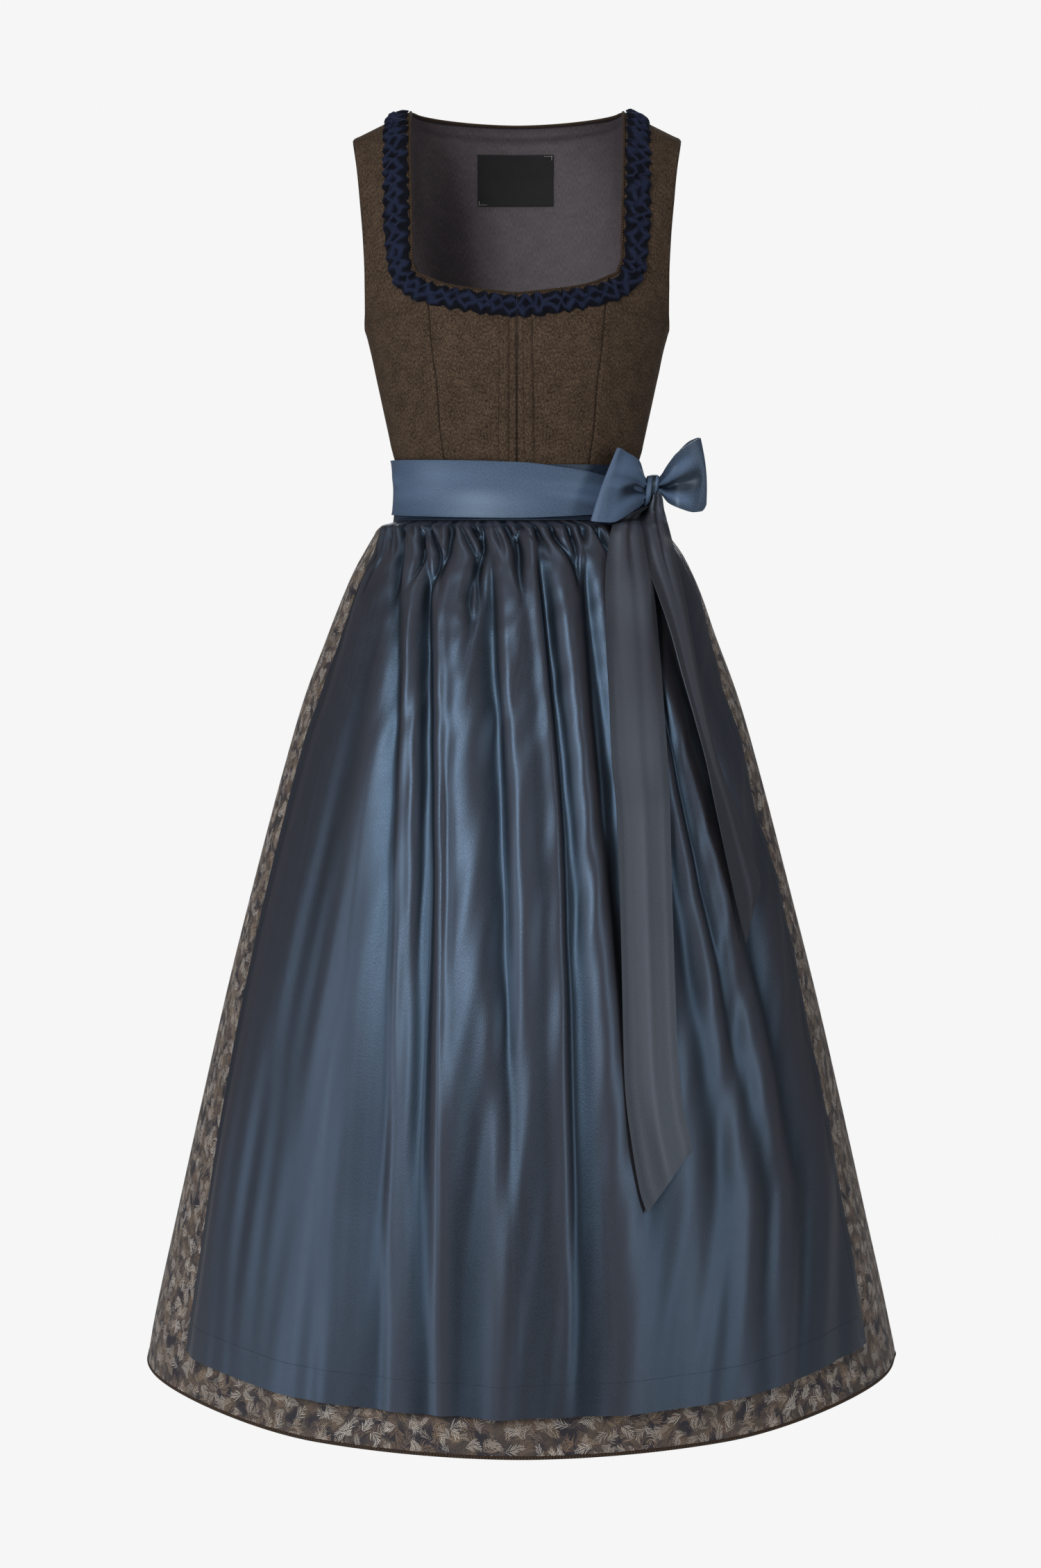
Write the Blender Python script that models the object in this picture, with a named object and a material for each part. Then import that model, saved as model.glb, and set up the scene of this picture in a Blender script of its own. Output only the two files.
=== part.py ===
"""A dirndl, filled out as it is worn: bodice, gathered skirt, apron, sash and bow.

Metres, +Z up. The origin lies between the neck ends of the shoulder seams, where the wearer
holds the dress. X runs to the wearer's left, -Y is the front. Every cloth is a hollow wall.
"""
import math

import bmesh
import bpy
from mathutils import Vector
from mathutils.bvhtree import BVHTree

for old in list(bpy.data.objects):
    bpy.data.objects.remove(old, do_unlink=True)

# Seams and walls
SEAM = 0.0003
TWILL = 0.0014
LINING = 0.0010
SATIN = 0.0010
BROCADE = 0.0012
RIBBON = 0.0012
VELVET = 0.0010
TAPE = 0.0016
# Faces that meet at more than this are an edge of the cloth
CREASE_ANGLE = math.radians(60.0)

# Heights from the shoulder line
UNDERARM = -0.2175
WAIST = -0.3768
SKIRT_HEM = -1.2650
TAPE_HEM = -1.2708
APRON_TOP = -0.4048
APRON_HEM = -1.2310

# Shoulder
SHOULDER_Y = 0.009
NECK_X = 0.107
TIP_X = 0.164
SHOULDER_STRIP = 0.004
# The back's shoulder seam stands off this much more at its neck end
SHOULDER_EASE = 0.0004
SHOULDER_DROP = 0.028
# Fall of the narrow strips beside the shoulder seam, as a slope
STRIP_SLOPE = 0.02
BACK_NECK_Y = 0.085
BACK_NECK_DIP = 0.004
BACK_NECK_CURVE = 1.5
# Drop from the back neck edge to the next row
BACK_NECK_ROW = 0.002

# The bodice's body: half a section's width, its depth to the front and to the back.
# Above the underarm the width is that of the shoulder, which the armhole cuts.
BODICE_COLUMNS = ("height", "width", "front", "back")
BODICE = (
    (-0.3768, 0.1185, 0.0855, 0.079),
    (-0.3500, 0.1213, 0.0900, 0.081),
    (-0.3360, 0.1248, 0.0945, 0.084),
    (-0.3010, 0.1325, 0.1040, 0.089),
    (-0.2670, 0.1398, 0.1130, 0.094),
    (-0.2320, 0.1474, 0.1165, 0.098),
    (-0.2175, 0.1516, 0.1165, 0.100),
    (-0.2050, 0.1585, 0.1160, 0.101),
    (-0.1900, 0.1640, 0.1150, 0.102),
    (-0.1600, 0.1690, 0.1140, 0.103),
    (-0.1000, 0.1760, 0.1130, 0.104),
    (0.0100, 0.1850, 0.1120, 0.104),
)
BODICE_ROUNDNESS = 2.2
BUST_FULLNESS = 0.006
BUST_X = 0.074
BUST_Z = -0.243
BUST_WIDTH = 0.045
BUST_HEIGHT = 0.050
# The side seams, as an angle on the bodice's sections
SIDE_ANGLE = math.radians(89.9)

# Neck edge, then the princess seam that goes on from it: height and distance from the middle
INNER_COLUMNS = ("height", "x")
INNER_EDGE = (
    (-0.3768, 0.0690),
    (-0.3479, 0.0713),
    (-0.3214, 0.0748),
    (-0.2730, 0.0782),
    (-0.2376, 0.0828),
    (-0.2055, 0.0853),
    (-0.1900, 0.0868),
    (-0.1723, 0.0903),
    (-0.1674, 0.0984),
    (-0.1543, 0.1026),
    (-0.1310, 0.1030),
    (-0.0500, 0.1055),
    (0.0000, 0.1070),
)
# Lower neck edge: distance from the middle and height
NECK_COLUMNS = ("x", "height")
NECK_BOTTOM = (
    (0.0000, -0.1905),
    (0.0300, -0.1875),
    (0.0600, -0.1832),
    (0.0815, -0.1767),
    (0.0903, -0.1723),
)
# Armhole edge seen from the front
ARM_COLUMNS = ("height", "x")
ARMHOLE = (
    (-0.2175, 0.1516),
    (-0.2030, 0.1503),
    (-0.1680, 0.1502),
    (-0.1330, 0.1516),
    (-0.0980, 0.1545),
    (-0.0630, 0.1582),
    (-0.0280, 0.1640),
)
# Rows of the side front: height at its inner edge, height at its outer edge
SIDE_ROWS = (
    (-0.0060, -0.0340),
    (-0.0180, -0.0450),
    (-0.0400, -0.0640),
    (-0.0700, -0.0900),
    (-0.1000, -0.1180),
    (-0.1300, -0.1450),
    (-0.1543, -0.1680),
    (-0.1674, -0.1880),
    (-0.1723, -0.2020),
    (-0.1880, -0.2120),
    (-0.2055, -0.2175),
    (-0.2376, -0.2450),
    (-0.2730, -0.2770),
    (-0.3050, -0.3070),
    (-0.3300, -0.3310),
    (-0.3520, -0.3520),
    (-0.3768, -0.3768),
)
# Back princess seam, from the armhole down
BACK_SEAM_TOP = -0.130
BACK_SEAM_COLUMNS = ("height", "x")
BACK_SEAM = (
    (-0.3768, 0.0580),
    (-0.3400, 0.0660),
    (-0.3000, 0.0780),
    (-0.2600, 0.0905),
    (-0.2175, 0.1060),
    (-0.1900, 0.1180),
    (-0.1600, 0.1340),
    (-0.1300, 0.1556),
)
# Heights at which both panels beside the back princess seam have a row
BACK_SEAM_ROWS = (-0.130, -0.158, -0.190, -0.2175, -0.248, -0.280, -0.306, -0.330, -0.352, -0.3768)
# Heights at the armhole of the back's rows above that seam
BACK_UPPER_ROWS = (-0.034, -0.046, -0.068, -0.098)

# Skirt sections: height, half width, depth to the front and to the back, roundness and the
# sideways place of the middle
SKIRT_COLUMNS = ("height", "width", "front", "back", "roundness", "middle")
SKIRT = (
    (-0.3771, 0.1185, 0.0855, 0.0790, 2.20, 0.0000),
    (-0.4062, 0.1221, 0.0896, 0.0836, 2.18, 0.0005),
    (-0.4110, 0.1385, 0.1035, 0.0980, 2.16, 0.0032),
    (-0.4220, 0.1468, 0.1100, 0.1065, 2.12, 0.0045),
    (-0.4400, 0.1590, 0.1205, 0.1175, 2.10, 0.0060),
    (-0.4600, 0.1698, 0.1302, 0.1285, 2.07, 0.0058),
    (-0.4850, 0.1808, 0.1400, 0.1390, 2.04, 0.0053),
    (-0.5200, 0.1945, 0.1530, 0.1530, 2.00, 0.0045),
    (-0.5800, 0.2173, 0.1740, 0.1750, 1.98, 0.0044),
    (-0.6600, 0.2408, 0.1950, 0.1965, 1.95, 0.0042),
    (-0.7600, 0.2670, 0.2185, 0.2200, 1.92, 0.0037),
    (-0.8800, 0.2967, 0.2450, 0.2470, 1.90, 0.0032),
    (-1.0000, 0.3238, 0.2690, 0.2720, 1.87, 0.0030),
    (-1.1200, 0.3505, 0.2930, 0.2960, 1.84, 0.0030),
    (-1.2310, 0.3748, 0.3130, 0.3165, 1.81, 0.0030),
    (-1.2650, 0.3812, 0.3190, 0.3225, 1.80, 0.0035),
    (-1.2708, 0.3822, 0.3200, 0.3235, 1.80, 0.0035),
)
SKIRT_ROWS = (-0.3771, -0.4062, -0.4110, -0.4220, -0.4420, -0.4830, -0.5550, -0.6600, -0.7900,
              -0.9400, -1.0900, -1.2310, -1.2650)
# The gathers and pleats rise between these heights
GATHERS_START = -0.4062
GATHERS_FULL = -0.4220
# The hem hangs this much higher at the hips than at the front and back
HEM_RISE = 0.010
# The rise sets in between these shares of the half width
HEM_RISE_FROM = 0.50
HEM_RISE_TO = 0.95

# Skirt panels between their seams, by angle round the waist from the middle of the front
# towards +X: name, start, end, columns, whether pleated
SKIRT_PANELS = (
    ("skirt_front", -22.3, 52.7, 10, False),
    ("skirt_side_left", 52.7, 124.0, 14, True),
    ("skirt_back_left", 124.0, 195.2, 14, True),
    ("skirt_back_right", 195.2, 266.5, 14, True),
    ("skirt_side_right", 266.5, 337.7, 14, True),
)
PLEAT_HEIGHT = 0.0035
PLEAT_REACH = 0.150
# The pleats fade in and out beside the apron between these angles
PLEATS_IN = (85.0, 95.0)
PLEATS_OUT = (270.0, 280.0)
# A fold of the skirt reaches its full height after this share of its length
FOLD_GROWTH = 0.6
# Folds of the skirt where the apron doesn't lie: angle at the waist and at the hem, height,
# half width at the hem and the height where the fold starts
SKIRT_FOLDS = (
    (95.0, 92.0, 0.004, 0.030, -0.62),
    (112.0, 109.0, 0.009, 0.036, -0.50),
    (136.0, 138.0, 0.007, 0.042, -0.58),
    (157.0, 154.0, 0.011, 0.034, -0.46),
    (174.0, 177.0, 0.006, 0.038, -0.64),
    (201.0, 205.0, 0.010, 0.040, -0.48),
    (222.0, 219.0, 0.007, 0.032, -0.60),
    (243.0, 247.0, 0.009, 0.038, -0.52),
    (262.0, 263.0, 0.004, 0.028, -0.70),
)

# Waist sections under the sash
WAIST_COLUMNS = ("height", "width", "front", "back")
WAIST_SECTIONS = (
    (-0.4066, 0.1222, 0.0898, 0.0838),
    (-0.3768, 0.1194, 0.0864, 0.0799),
    (-0.3600, 0.1206, 0.0885, 0.0808),
    (-0.3440, 0.1226, 0.0915, 0.0825),
)
WAISTBAND_OUT = 0.0018
WAISTBAND_ROWS = (-0.3520, -0.3640, -0.3768, -0.3910, -0.4045)
WAISTBAND_REACH = 96.0
SASH_THICKNESS = 0.0015
SASH_OUT = 0.0042
SASH_BELLY = 0.0006
# The sash by the angle round the waist: heights of its edges, and how much further out it
# lies at the knot, or further in where no waistband lies under it
SASH_COLUMNS = ("angle", "top", "bottom", "rise")
SASH_EDGES = (
    (-180.0, -0.3500, -0.4030, -0.0020),
    (-112.0, -0.3480, -0.4015, -0.0020),
    (-98.0, -0.3462, -0.3998, 0.0000),
    (-50.0, -0.3472, -0.4020, 0.0000),
    (0.0, -0.3500, -0.4040, 0.0000),
    (16.0, -0.3540, -0.4026, 0.0000),
    (31.0, -0.3585, -0.4010, 0.0000),
    (44.0, -0.3635, -0.3992, 0.0003),
    (63.0, -0.3660, -0.3960, 0.0012),
    (76.0, -0.3650, -0.3920, 0.0030),
    (88.0, -0.3620, -0.3960, 0.0012),
    (100.0, -0.3550, -0.4005, 0.0000),
    (116.0, -0.3520, -0.4020, -0.0020),
    (180.0, -0.3500, -0.4030, -0.0020),
)

# Apron: its side edges, by height, as angles round the waist
APRON_EDGE_COLUMNS = ("height", "left", "right")
APRON_EDGES = (
    (-0.4048, -76.0, 77.4),
    (-0.4220, -70.0, 76.0),
    (-0.4450, -65.1, 74.0),
    (-0.4750, -65.2, 74.4),
    (-0.5050, -64.0, 71.4),
    (-0.5400, -63.6, 68.2),
    (-0.5760, -64.0, 65.4),
    (-0.6210, -66.3, 66.6),
    (-0.6820, -66.8, 67.0),
    (-0.7600, -66.8, 69.2),
    (-0.8420, -66.2, 69.8),
    (-0.9100, -65.7, 68.9),
    (-1.0060, -64.7, 68.6),
    (-1.1050, -63.4, 68.1),
    (-1.2310, -61.5, 66.4),
)
# The hem's corners rise this much, from a height above the hem
APRON_CORNER_RISE = 0.006
APRON_CORNER_START = -1.0
APRON_GATHERS = 42
APRON_LIFT = 0.0020
# At its top the apron lies this far out, under the waistband's edge, and spreads over this drop
APRON_TUCK = 0.0021
APRON_SPREAD = 0.0037
APRON_ROWS = (APRON_TOP, APRON_TOP - APRON_SPREAD) + SKIRT_ROWS[2:-1]
# The skirt's slope is taken over this drop
SLANT_REACH = 0.0035
# The gathers lie flat at the side hems, over this share of the width, and differ in height by
# two slow waves across the apron
GATHER_HEIGHT = 0.0042
GATHER_REACH = 0.110
GATHER_SIDE = 0.03
GATHER_UNEVENNESS = 0.25
GATHER_WAVES = (37.0, 11.0)
# Heights of the middle and low end of the folds' courses
FOLD_MIDDLE = -0.72
FOLD_LOW = -1.10
# A fold of the apron reaches its full height over this drop
FOLD_RISE_DROP = 0.10
# Main folds of the apron: place across it from 0, its right edge, to 1 at the top, at the
# middle and at the hem, height, half width as a share, and the height where it starts
APRON_FOLDS = (
    (0.235, 0.104, 0.070, 0.0060, 0.040, -0.425),
    (0.205, 0.217, 0.212, 0.0075, 0.036, -0.450),
    (0.215, 0.299, 0.307, 0.0055, 0.016, -0.420),
    (0.325, 0.400, 0.405, 0.0080, 0.034, -0.440),
    (0.440, 0.510, 0.525, 0.0070, 0.038, -0.450),
    (0.556, 0.556, 0.547, 0.0050, 0.012, -0.415),
    (0.606, 0.640, 0.624, 0.0075, 0.026, -0.440),
    (0.710, 0.705, 0.700, 0.0060, 0.022, -0.430),
    (0.805, 0.794, 0.860, 0.0065, 0.020, -0.480),
    (0.860, 0.842, 0.915, 0.0060, 0.018, -0.500),
    (0.930, 0.935, 0.965, 0.0045, 0.022, -0.520),
)

# Ribbons that hang from the knot, a row for each section: height and x of the left edge
# seen from the front, how far it stands before the skirt, and the same of the other edge
TAIL_FRONT = (
    (-0.3916, 0.1262, 0.028, -0.3916, 0.1328, 0.028),
    (-0.4025, 0.1050, 0.012, -0.4000, 0.1165, 0.028),
    (-0.4100, 0.0935, 0.018, -0.4092, 0.1166, 0.030),
    (-0.4414, 0.0869, 0.016, -0.4468, 0.1276, 0.018),
    (-0.4687, 0.0849, 0.014, -0.4756, 0.1333, 0.016),
    (-0.5089, 0.0852, 0.014, -0.5268, 0.1374, 0.015),
    (-0.5756, 0.0880, 0.014, -0.5686, 0.1401, 0.015),
    (-0.6353, 0.0903, 0.014, -0.6370, 0.1444, 0.015),
    (-0.6755, 0.0941, 0.014, -0.6700, 0.1458, 0.015),
    (-0.7974, 0.0980, 0.014, -0.7800, 0.1478, 0.015),
    (-0.9276, 0.1007, 0.014, -0.9176, 0.1523, 0.015),
    (-0.9879, 0.1073, 0.014, -0.9600, 0.1570, 0.015),
    (-1.0330, 0.1153, 0.014, -0.9850, 0.1630, 0.015),
    (-1.0510, 0.1214, 0.014, -0.9968, 0.1651, 0.015),
)
TAIL_SIDE = (
    (-0.3838, 0.1393, 0.030, -0.3838, 0.1442, 0.030),
    (-0.3925, 0.1345, 0.036, -0.3932, 0.1455, 0.034),
    (-0.4033, 0.1299, 0.052, -0.4045, 0.1480, 0.040),
    (-0.4130, 0.1273, 0.024, -0.4162, 0.1510, 0.048),
    (-0.4381, 0.1281, 0.032, -0.4470, 0.1571, 0.028),
    (-0.4739, 0.1380, 0.038, -0.4848, 0.1651, 0.022),
    (-0.5142, 0.1483, 0.042, -0.5224, 0.1712, 0.020),
    (-0.5511, 0.1580, 0.042, -0.5616, 0.1776, 0.020),
    (-0.5964, 0.1709, 0.042, -0.6100, 0.1880, 0.020),
    (-0.6368, 0.1817, 0.040, -0.6396, 0.1956, 0.020),
    (-0.6753, 0.1898, 0.036, -0.6817, 0.2122, 0.020),
    (-0.7267, 0.2008, 0.030, -0.7245, 0.2268, 0.020),
    (-0.7759, 0.2119, 0.025, -0.7585, 0.2371, 0.020),
    (-0.8122, 0.2208, 0.022, -0.7848, 0.2284, 0.022),
)
RIBBON_STEPS = 4
RIBBON_HOLLOW = 0.0025

KNOT_CENTRE = (0.1330, -0.0268, -0.3766)
KNOT_SIZE = (0.0080, 0.0100, 0.0150)
KNOT_ROUNDNESS = 0.75
KNOT_LEAN = 0.20
# The two loops of the bow, a row for each section of the band, from the knot round the loop's
# fold and back to the knot behind it: x, y and z of its upper edge, the same of its lower
# edge, and how far its middle lies to the right and to the back of the line between them
LOOP_LEFT = (
    (0.1270, -0.0370, -0.3627, 0.1259, -0.0360, -0.3887, 0.0000, 0.0000),
    (0.1206, -0.0600, -0.3477, 0.1124, -0.0720, -0.3981, -0.0005, 0.0020),
    (0.1072, -0.0780, -0.3398, 0.0922, -0.1020, -0.4085, -0.0010, 0.0010),
    (0.1001, -0.0870, -0.3360, 0.0774, -0.1080, -0.4079, -0.0015, -0.0010),
    (0.0974, -0.0870, -0.3364, 0.0714, -0.1060, -0.4066, -0.0015, -0.0010),
    (0.0997, -0.0795, -0.3375, 0.0757, -0.0970, -0.4051, -0.0010, 0.0000),
    (0.1082, -0.0690, -0.3425, 0.0903, -0.0830, -0.4023, 0.0000, 0.0000),
    (0.1176, -0.0560, -0.3530, 0.1093, -0.0620, -0.3946, 0.0000, 0.0000),
    (0.1249, -0.0345, -0.3647, 0.1242, -0.0340, -0.3859, 0.0000, 0.0000),
)
LOOP_RIGHT = (
    (0.1418, -0.0310, -0.3660, 0.1449, -0.0310, -0.3790, 0.0000, 0.0000),
    (0.1467, -0.0400, -0.3518, 0.1499, -0.0420, -0.3888, 0.0005, 0.0040),
    (0.1556, -0.0470, -0.3377, 0.1612, -0.0490, -0.3940, 0.0010, 0.0060),
    (0.1679, -0.0460, -0.3288, 0.1750, -0.0480, -0.3981, 0.0020, 0.0050),
    (0.1806, -0.0400, -0.3259, 0.1837, -0.0410, -0.3970, 0.0035, 0.0010),
    (0.1821, -0.0330, -0.3284, 0.1854, -0.0340, -0.3921, 0.0035, 0.0000),
    (0.1773, -0.0270, -0.3282, 0.1803, -0.0280, -0.3900, 0.0020, 0.0000),
    (0.1624, -0.0220, -0.3355, 0.1653, -0.0225, -0.3837, 0.0010, 0.0000),
    (0.1493, -0.0220, -0.3527, 0.1522, -0.0220, -0.3782, 0.0000, 0.0000),
    (0.1435, -0.0245, -0.3679, 0.1456, -0.0245, -0.3755, 0.0000, 0.0000),
)

# Ruche: a row for each place along half the neck, from the shoulder to the front
RUCHE_COLUMNS = ("share", "inner_x", "inner_z", "outer_x", "outer_z")
RUCHE = (
    (0.00, 0.1078, -0.0008, 0.1305, -0.0125),
    (0.10, 0.1070, -0.0230, 0.1303, -0.0340),
    (0.25, 0.1058, -0.0620, 0.1300, -0.0700),
    (0.42, 0.1043, -0.1100, 0.1292, -0.1160),
    (0.54, 0.1036, -0.1455, 0.1262, -0.1520),
    (0.60, 0.1010, -0.1635, 0.1212, -0.1730),
    (0.66, 0.0945, -0.1722, 0.1100, -0.1870),
    (0.74, 0.0748, -0.1805, 0.0860, -0.1985),
    (0.87, 0.0372, -0.1872, 0.0410, -0.2080),
    (1.00, 0.0002, -0.1915, 0.0002, -0.2125),
)
RUCHE_UNITS = 23
RUCHE_BASE = 0.0010
# Height of the ruche above its base, across its width: where two pleats are pinched
# together, and where a pleat stands open between them
PINCH_HEIGHTS = (0.0006, 0.0024, 0.0052, 0.0024, 0.0006)
OPEN_HEIGHTS = (0.0044, 0.0026, 0.0006, 0.0026, 0.0044)

PIPING_RADIUS = 0.0014
PIPING_OUT = 0.0018
# The piping over the shoulder: how far inside the seam's neck end, how far before the seam,
# and its height
PIPING_SHOULDER = (
    (0.0017, 0.0090, 0.0008),
    (0.0012, 0.0000, 0.0022),
)
# Its bends along half of the back neck, as shares of the half width; beside the shoulder it
# lies further in and higher
PIPING_BACK = (0.975, 0.930, 0.850, 0.700, 0.500, 0.330, 0.160, 0.000)
PIPING_NEAR = 0.90
PIPING_IN = 0.0018
PIPING_UP = 0.0008

TUCK_OUT = 0.0017
TUCK_TOP = -0.2150
TUCK_FOOT = -0.3500
# Pin tucks: name, and x of both edges
TUCKS = (
    ("front_tuck_right", -0.0165, -0.0075),
    ("front_tuck_left", 0.0060, 0.0145),
)

# The lining takes this many of the back's columns beside the middle and this many rows
LINING_COLUMNS = 4
LINING_ROWS = 10
# Its first rows lie this much further in, where its edge is rolled
LINING_ROLL = (0.0, 0.0012, 0.0)
LABEL_LEFT = -0.0405
LABEL_RIGHT = 0.0370
LABEL_TOP = -0.0315
LABEL_FOOT = -0.0830

HOOK_PLACE = (0.0032, -0.2165)
HOOK_WIRE = 0.0006
HOOK_REACH = 0.0045
HOOK_BEND = 0.0016
HOOK_OUT = 0.0010
HOOK_TURNS = 8


def column(columns, name):
    """The place of a named column in its table."""
    return columns.index(name)


def read(table, columns, name, at):
    """A table's column at a place between its rows, on a smooth curve without overshoot."""
    place = column(columns, name)
    rows = sorted(table, key=lambda row: row[0])
    xs = [row[0] for row in rows]
    ys = [row[place] for row in rows]
    if at <= xs[0]:
        return ys[0]
    if at >= xs[-1]:
        return ys[-1]
    steps = [xs[i + 1] - xs[i] for i in range(len(xs) - 1)]
    slopes = [(ys[i + 1] - ys[i]) / steps[i] for i in range(len(steps))]
    tangents = [slopes[0]]
    for i in range(1, len(slopes)):
        if slopes[i - 1] * slopes[i] <= 0.0:
            tangents.append(0.0)
        else:
            first = 2.0 * steps[i] + steps[i - 1]
            second = steps[i] + 2.0 * steps[i - 1]
            tangents.append((first + second) / (first / slopes[i - 1] + second / slopes[i]))
    tangents.append(slopes[-1])
    for i, step in enumerate(steps):
        if at <= xs[i + 1]:
            break
    t = (at - xs[i]) / step
    start = (1.0 + 2.0 * t) * (1.0 - t) ** 2 * ys[i] + t * (1.0 - t) ** 2 * step * tangents[i]
    end = t * t * (3.0 - 2.0 * t) * ys[i + 1] + t * t * (t - 1.0) * step * tangents[i + 1]
    return start + end


def blend(a, b, share):
    """The value that lies the share of the way from a to b."""
    return a + (b - a) * share


def smooth(low, high, value):
    """0 below low, 1 above high, with a soft step between them."""
    t = min(1.0, max(0.0, (value - low) / (high - low)))
    return t * t * (3.0 - 2.0 * t)


def material(name, colour, roughness, metallic=0.0):
    """A plain surface of one colour."""
    made = bpy.data.materials.new(name)
    made.use_nodes = True
    shader = made.node_tree.nodes["Principled BSDF"]
    shader.inputs["Base Color"].default_value = (*colour, 1.0)
    shader.inputs["Roughness"].default_value = roughness
    shader.inputs["Metallic"].default_value = metallic
    return made


def add_object(name, mesh, surface):
    """Put a mesh into the scene under its piece's name."""
    made = bpy.data.objects.new(name, mesh)
    mesh.materials.append(surface)
    bpy.context.scene.collection.objects.link(made)
    return made


def grid_mesh(name, rows, closed=False):
    """A sheet through rows of points; columns run anticlockwise seen from above."""
    shape = bmesh.new()
    points = [[shape.verts.new(point) for point in row] for row in rows]
    across = len(rows[0])
    last = across if closed else across - 1
    for upper, lower in zip(points, points[1:]):
        for j in range(last):
            k = (j + 1) % across
            shape.faces.new((upper[j], lower[j], lower[k], upper[k]))
    mesh = bpy.data.meshes.new(name)
    shape.to_mesh(mesh)
    shape.free()
    mesh.shade_smooth()
    return mesh


def wall(name, rows, thickness, surface, closed=False):
    """A cloth wall whose outer face runs through the rows of points."""
    made = add_object(name, grid_mesh(name, rows, closed), surface)
    solid = made.modifiers.new("Wall", "SOLIDIFY")
    solid.thickness = thickness
    solid.offset = -1.0
    made.data.set_sharp_from_angle(angle=CREASE_ANGLE)
    return made


def normals(rows):
    """The outward normal of a sheet at each of its points."""
    high = len(rows)
    across = len(rows[0])
    made = []
    for i in range(high):
        line = []
        for j in range(across):
            right = rows[i][min(across - 1, j + 1)] - rows[i][max(0, j - 1)]
            down = rows[min(high - 1, i + 1)][j] - rows[max(0, i - 1)][j]
            line.append(down.cross(right).normalized())
        made.append(line)
    return made


def moved_out(rows, distance):
    """The rows of a sheet, each point moved along the sheet's own normal."""
    return [[point + way * distance for point, way in zip(line, ways)]
            for line, ways in zip(rows, normals(rows))]


def mirrored(rows):
    """The same sheet on the other side of the body, its columns turned round."""
    return [[Vector((-p.x, p.y, p.z)) for p in reversed(row)] for row in rows]


# The bodice's body

def shoulder_height(x):
    """Height of the shoulder line, and of the back neck edge inside it."""
    if x >= NECK_X:
        return -SHOULDER_DROP * (x - NECK_X) / (TIP_X - NECK_X)
    return -BACK_NECK_DIP * (1.0 - (x / NECK_X) ** BACK_NECK_CURVE)


def back_top_y(x):
    """How far back the upper edge of the back lies."""
    if x >= NECK_X:
        return SHOULDER_Y
    return SHOULDER_Y + (BACK_NECK_Y - SHOULDER_Y) * math.sqrt(1.0 - (x / NECK_X) ** 2)


def section_angle(x, height):
    """Angle on a section, 0 at the middle and 90 degrees at the side, for a width."""
    share = min(1.0, abs(x) / read(BODICE, BODICE_COLUMNS, "width", height))
    return math.asin(share ** (BODICE_ROUNDNESS / 2.0))


def bodice_point(angle, height, back=False):
    """A point on the body, from the angle on its section and its height, on the +X side."""
    power = 2.0 / BODICE_ROUNDNESS
    x = read(BODICE, BODICE_COLUMNS, "width", height) * math.sin(angle) ** power
    depth = read(BODICE, BODICE_COLUMNS, "back" if back else "front", height)
    y = depth * max(0.0, math.cos(angle)) ** power
    if not back:
        near = ((x - BUST_X) / BUST_WIDTH) ** 2 + ((height - BUST_Z) / BUST_HEIGHT) ** 2
        y = -y - BUST_FULLNESS * math.exp(-near) * math.cos(angle)
    top = back_top_y(x) if back else SHOULDER_Y
    top_height = shoulder_height(x) if back or x >= NECK_X else 0.0
    if height > UNDERARM:
        drop = max(0.0, (top_height - height) / (top_height - UNDERARM))
        y = top + (y - top) * math.sin(math.pi / 2.0 * math.sqrt(drop))
    return Vector((x, y, height))


def front_point(x, height):
    """A point on the front of the bodice seen at x and a height, on either side."""
    point = bodice_point(section_angle(x, height), height)
    return Vector((math.copysign(point.x, x), point.y, point.z))


def side_front_rows():
    """The side front with its strap, from the shoulder seam to the waist."""
    steps = 5
    rows = []
    for offset in (SEAM / 2.0, SHOULDER_STRIP):
        row = []
        for j in range(steps + 1):
            x = blend(NECK_X, TIP_X, j / steps)
            height = shoulder_height(x) - offset * STRIP_SLOPE
            row.append(Vector((x, SHOULDER_Y - offset, height)))
        rows.append(row)
    for inner, outer in SIDE_ROWS:
        inner_x = read(INNER_EDGE, INNER_COLUMNS, "x", inner)
        if inner <= NECK_BOTTOM[-1][1]:
            inner_x += SEAM / 2.0
        start = section_angle(inner_x, inner)
        if outer > UNDERARM:
            end = section_angle(read(ARMHOLE, ARM_COLUMNS, "x", outer), outer)
        else:
            end = SIDE_ANGLE
        rows.append([bodice_point(blend(start, end, j / steps), blend(inner, outer, j / steps))
                     for j in range(steps + 1)])
    return rows


def centre_front_rows():
    """A front centre panel, from the lower neck edge to the waist."""
    steps = 5
    neck_x, neck_foot = NECK_BOTTOM[-1]
    rows = []
    for seam_height in [inner for inner, _ in SIDE_ROWS if inner <= neck_foot]:
        share = (seam_height - neck_foot) / (WAIST - neck_foot)
        seam_x = read(INNER_EDGE, INNER_COLUMNS, "x", seam_height) - SEAM / 2.0
        row = []
        for j in range(steps + 1):
            across = j / steps
            neck = read(NECK_BOTTOM, NECK_COLUMNS, "height", neck_x * across)
            x = max(SEAM / 2.0, seam_x * across)
            row.append(front_point(x, blend(neck, WAIST, share)))
        rows.append(row)
    return rows


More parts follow.
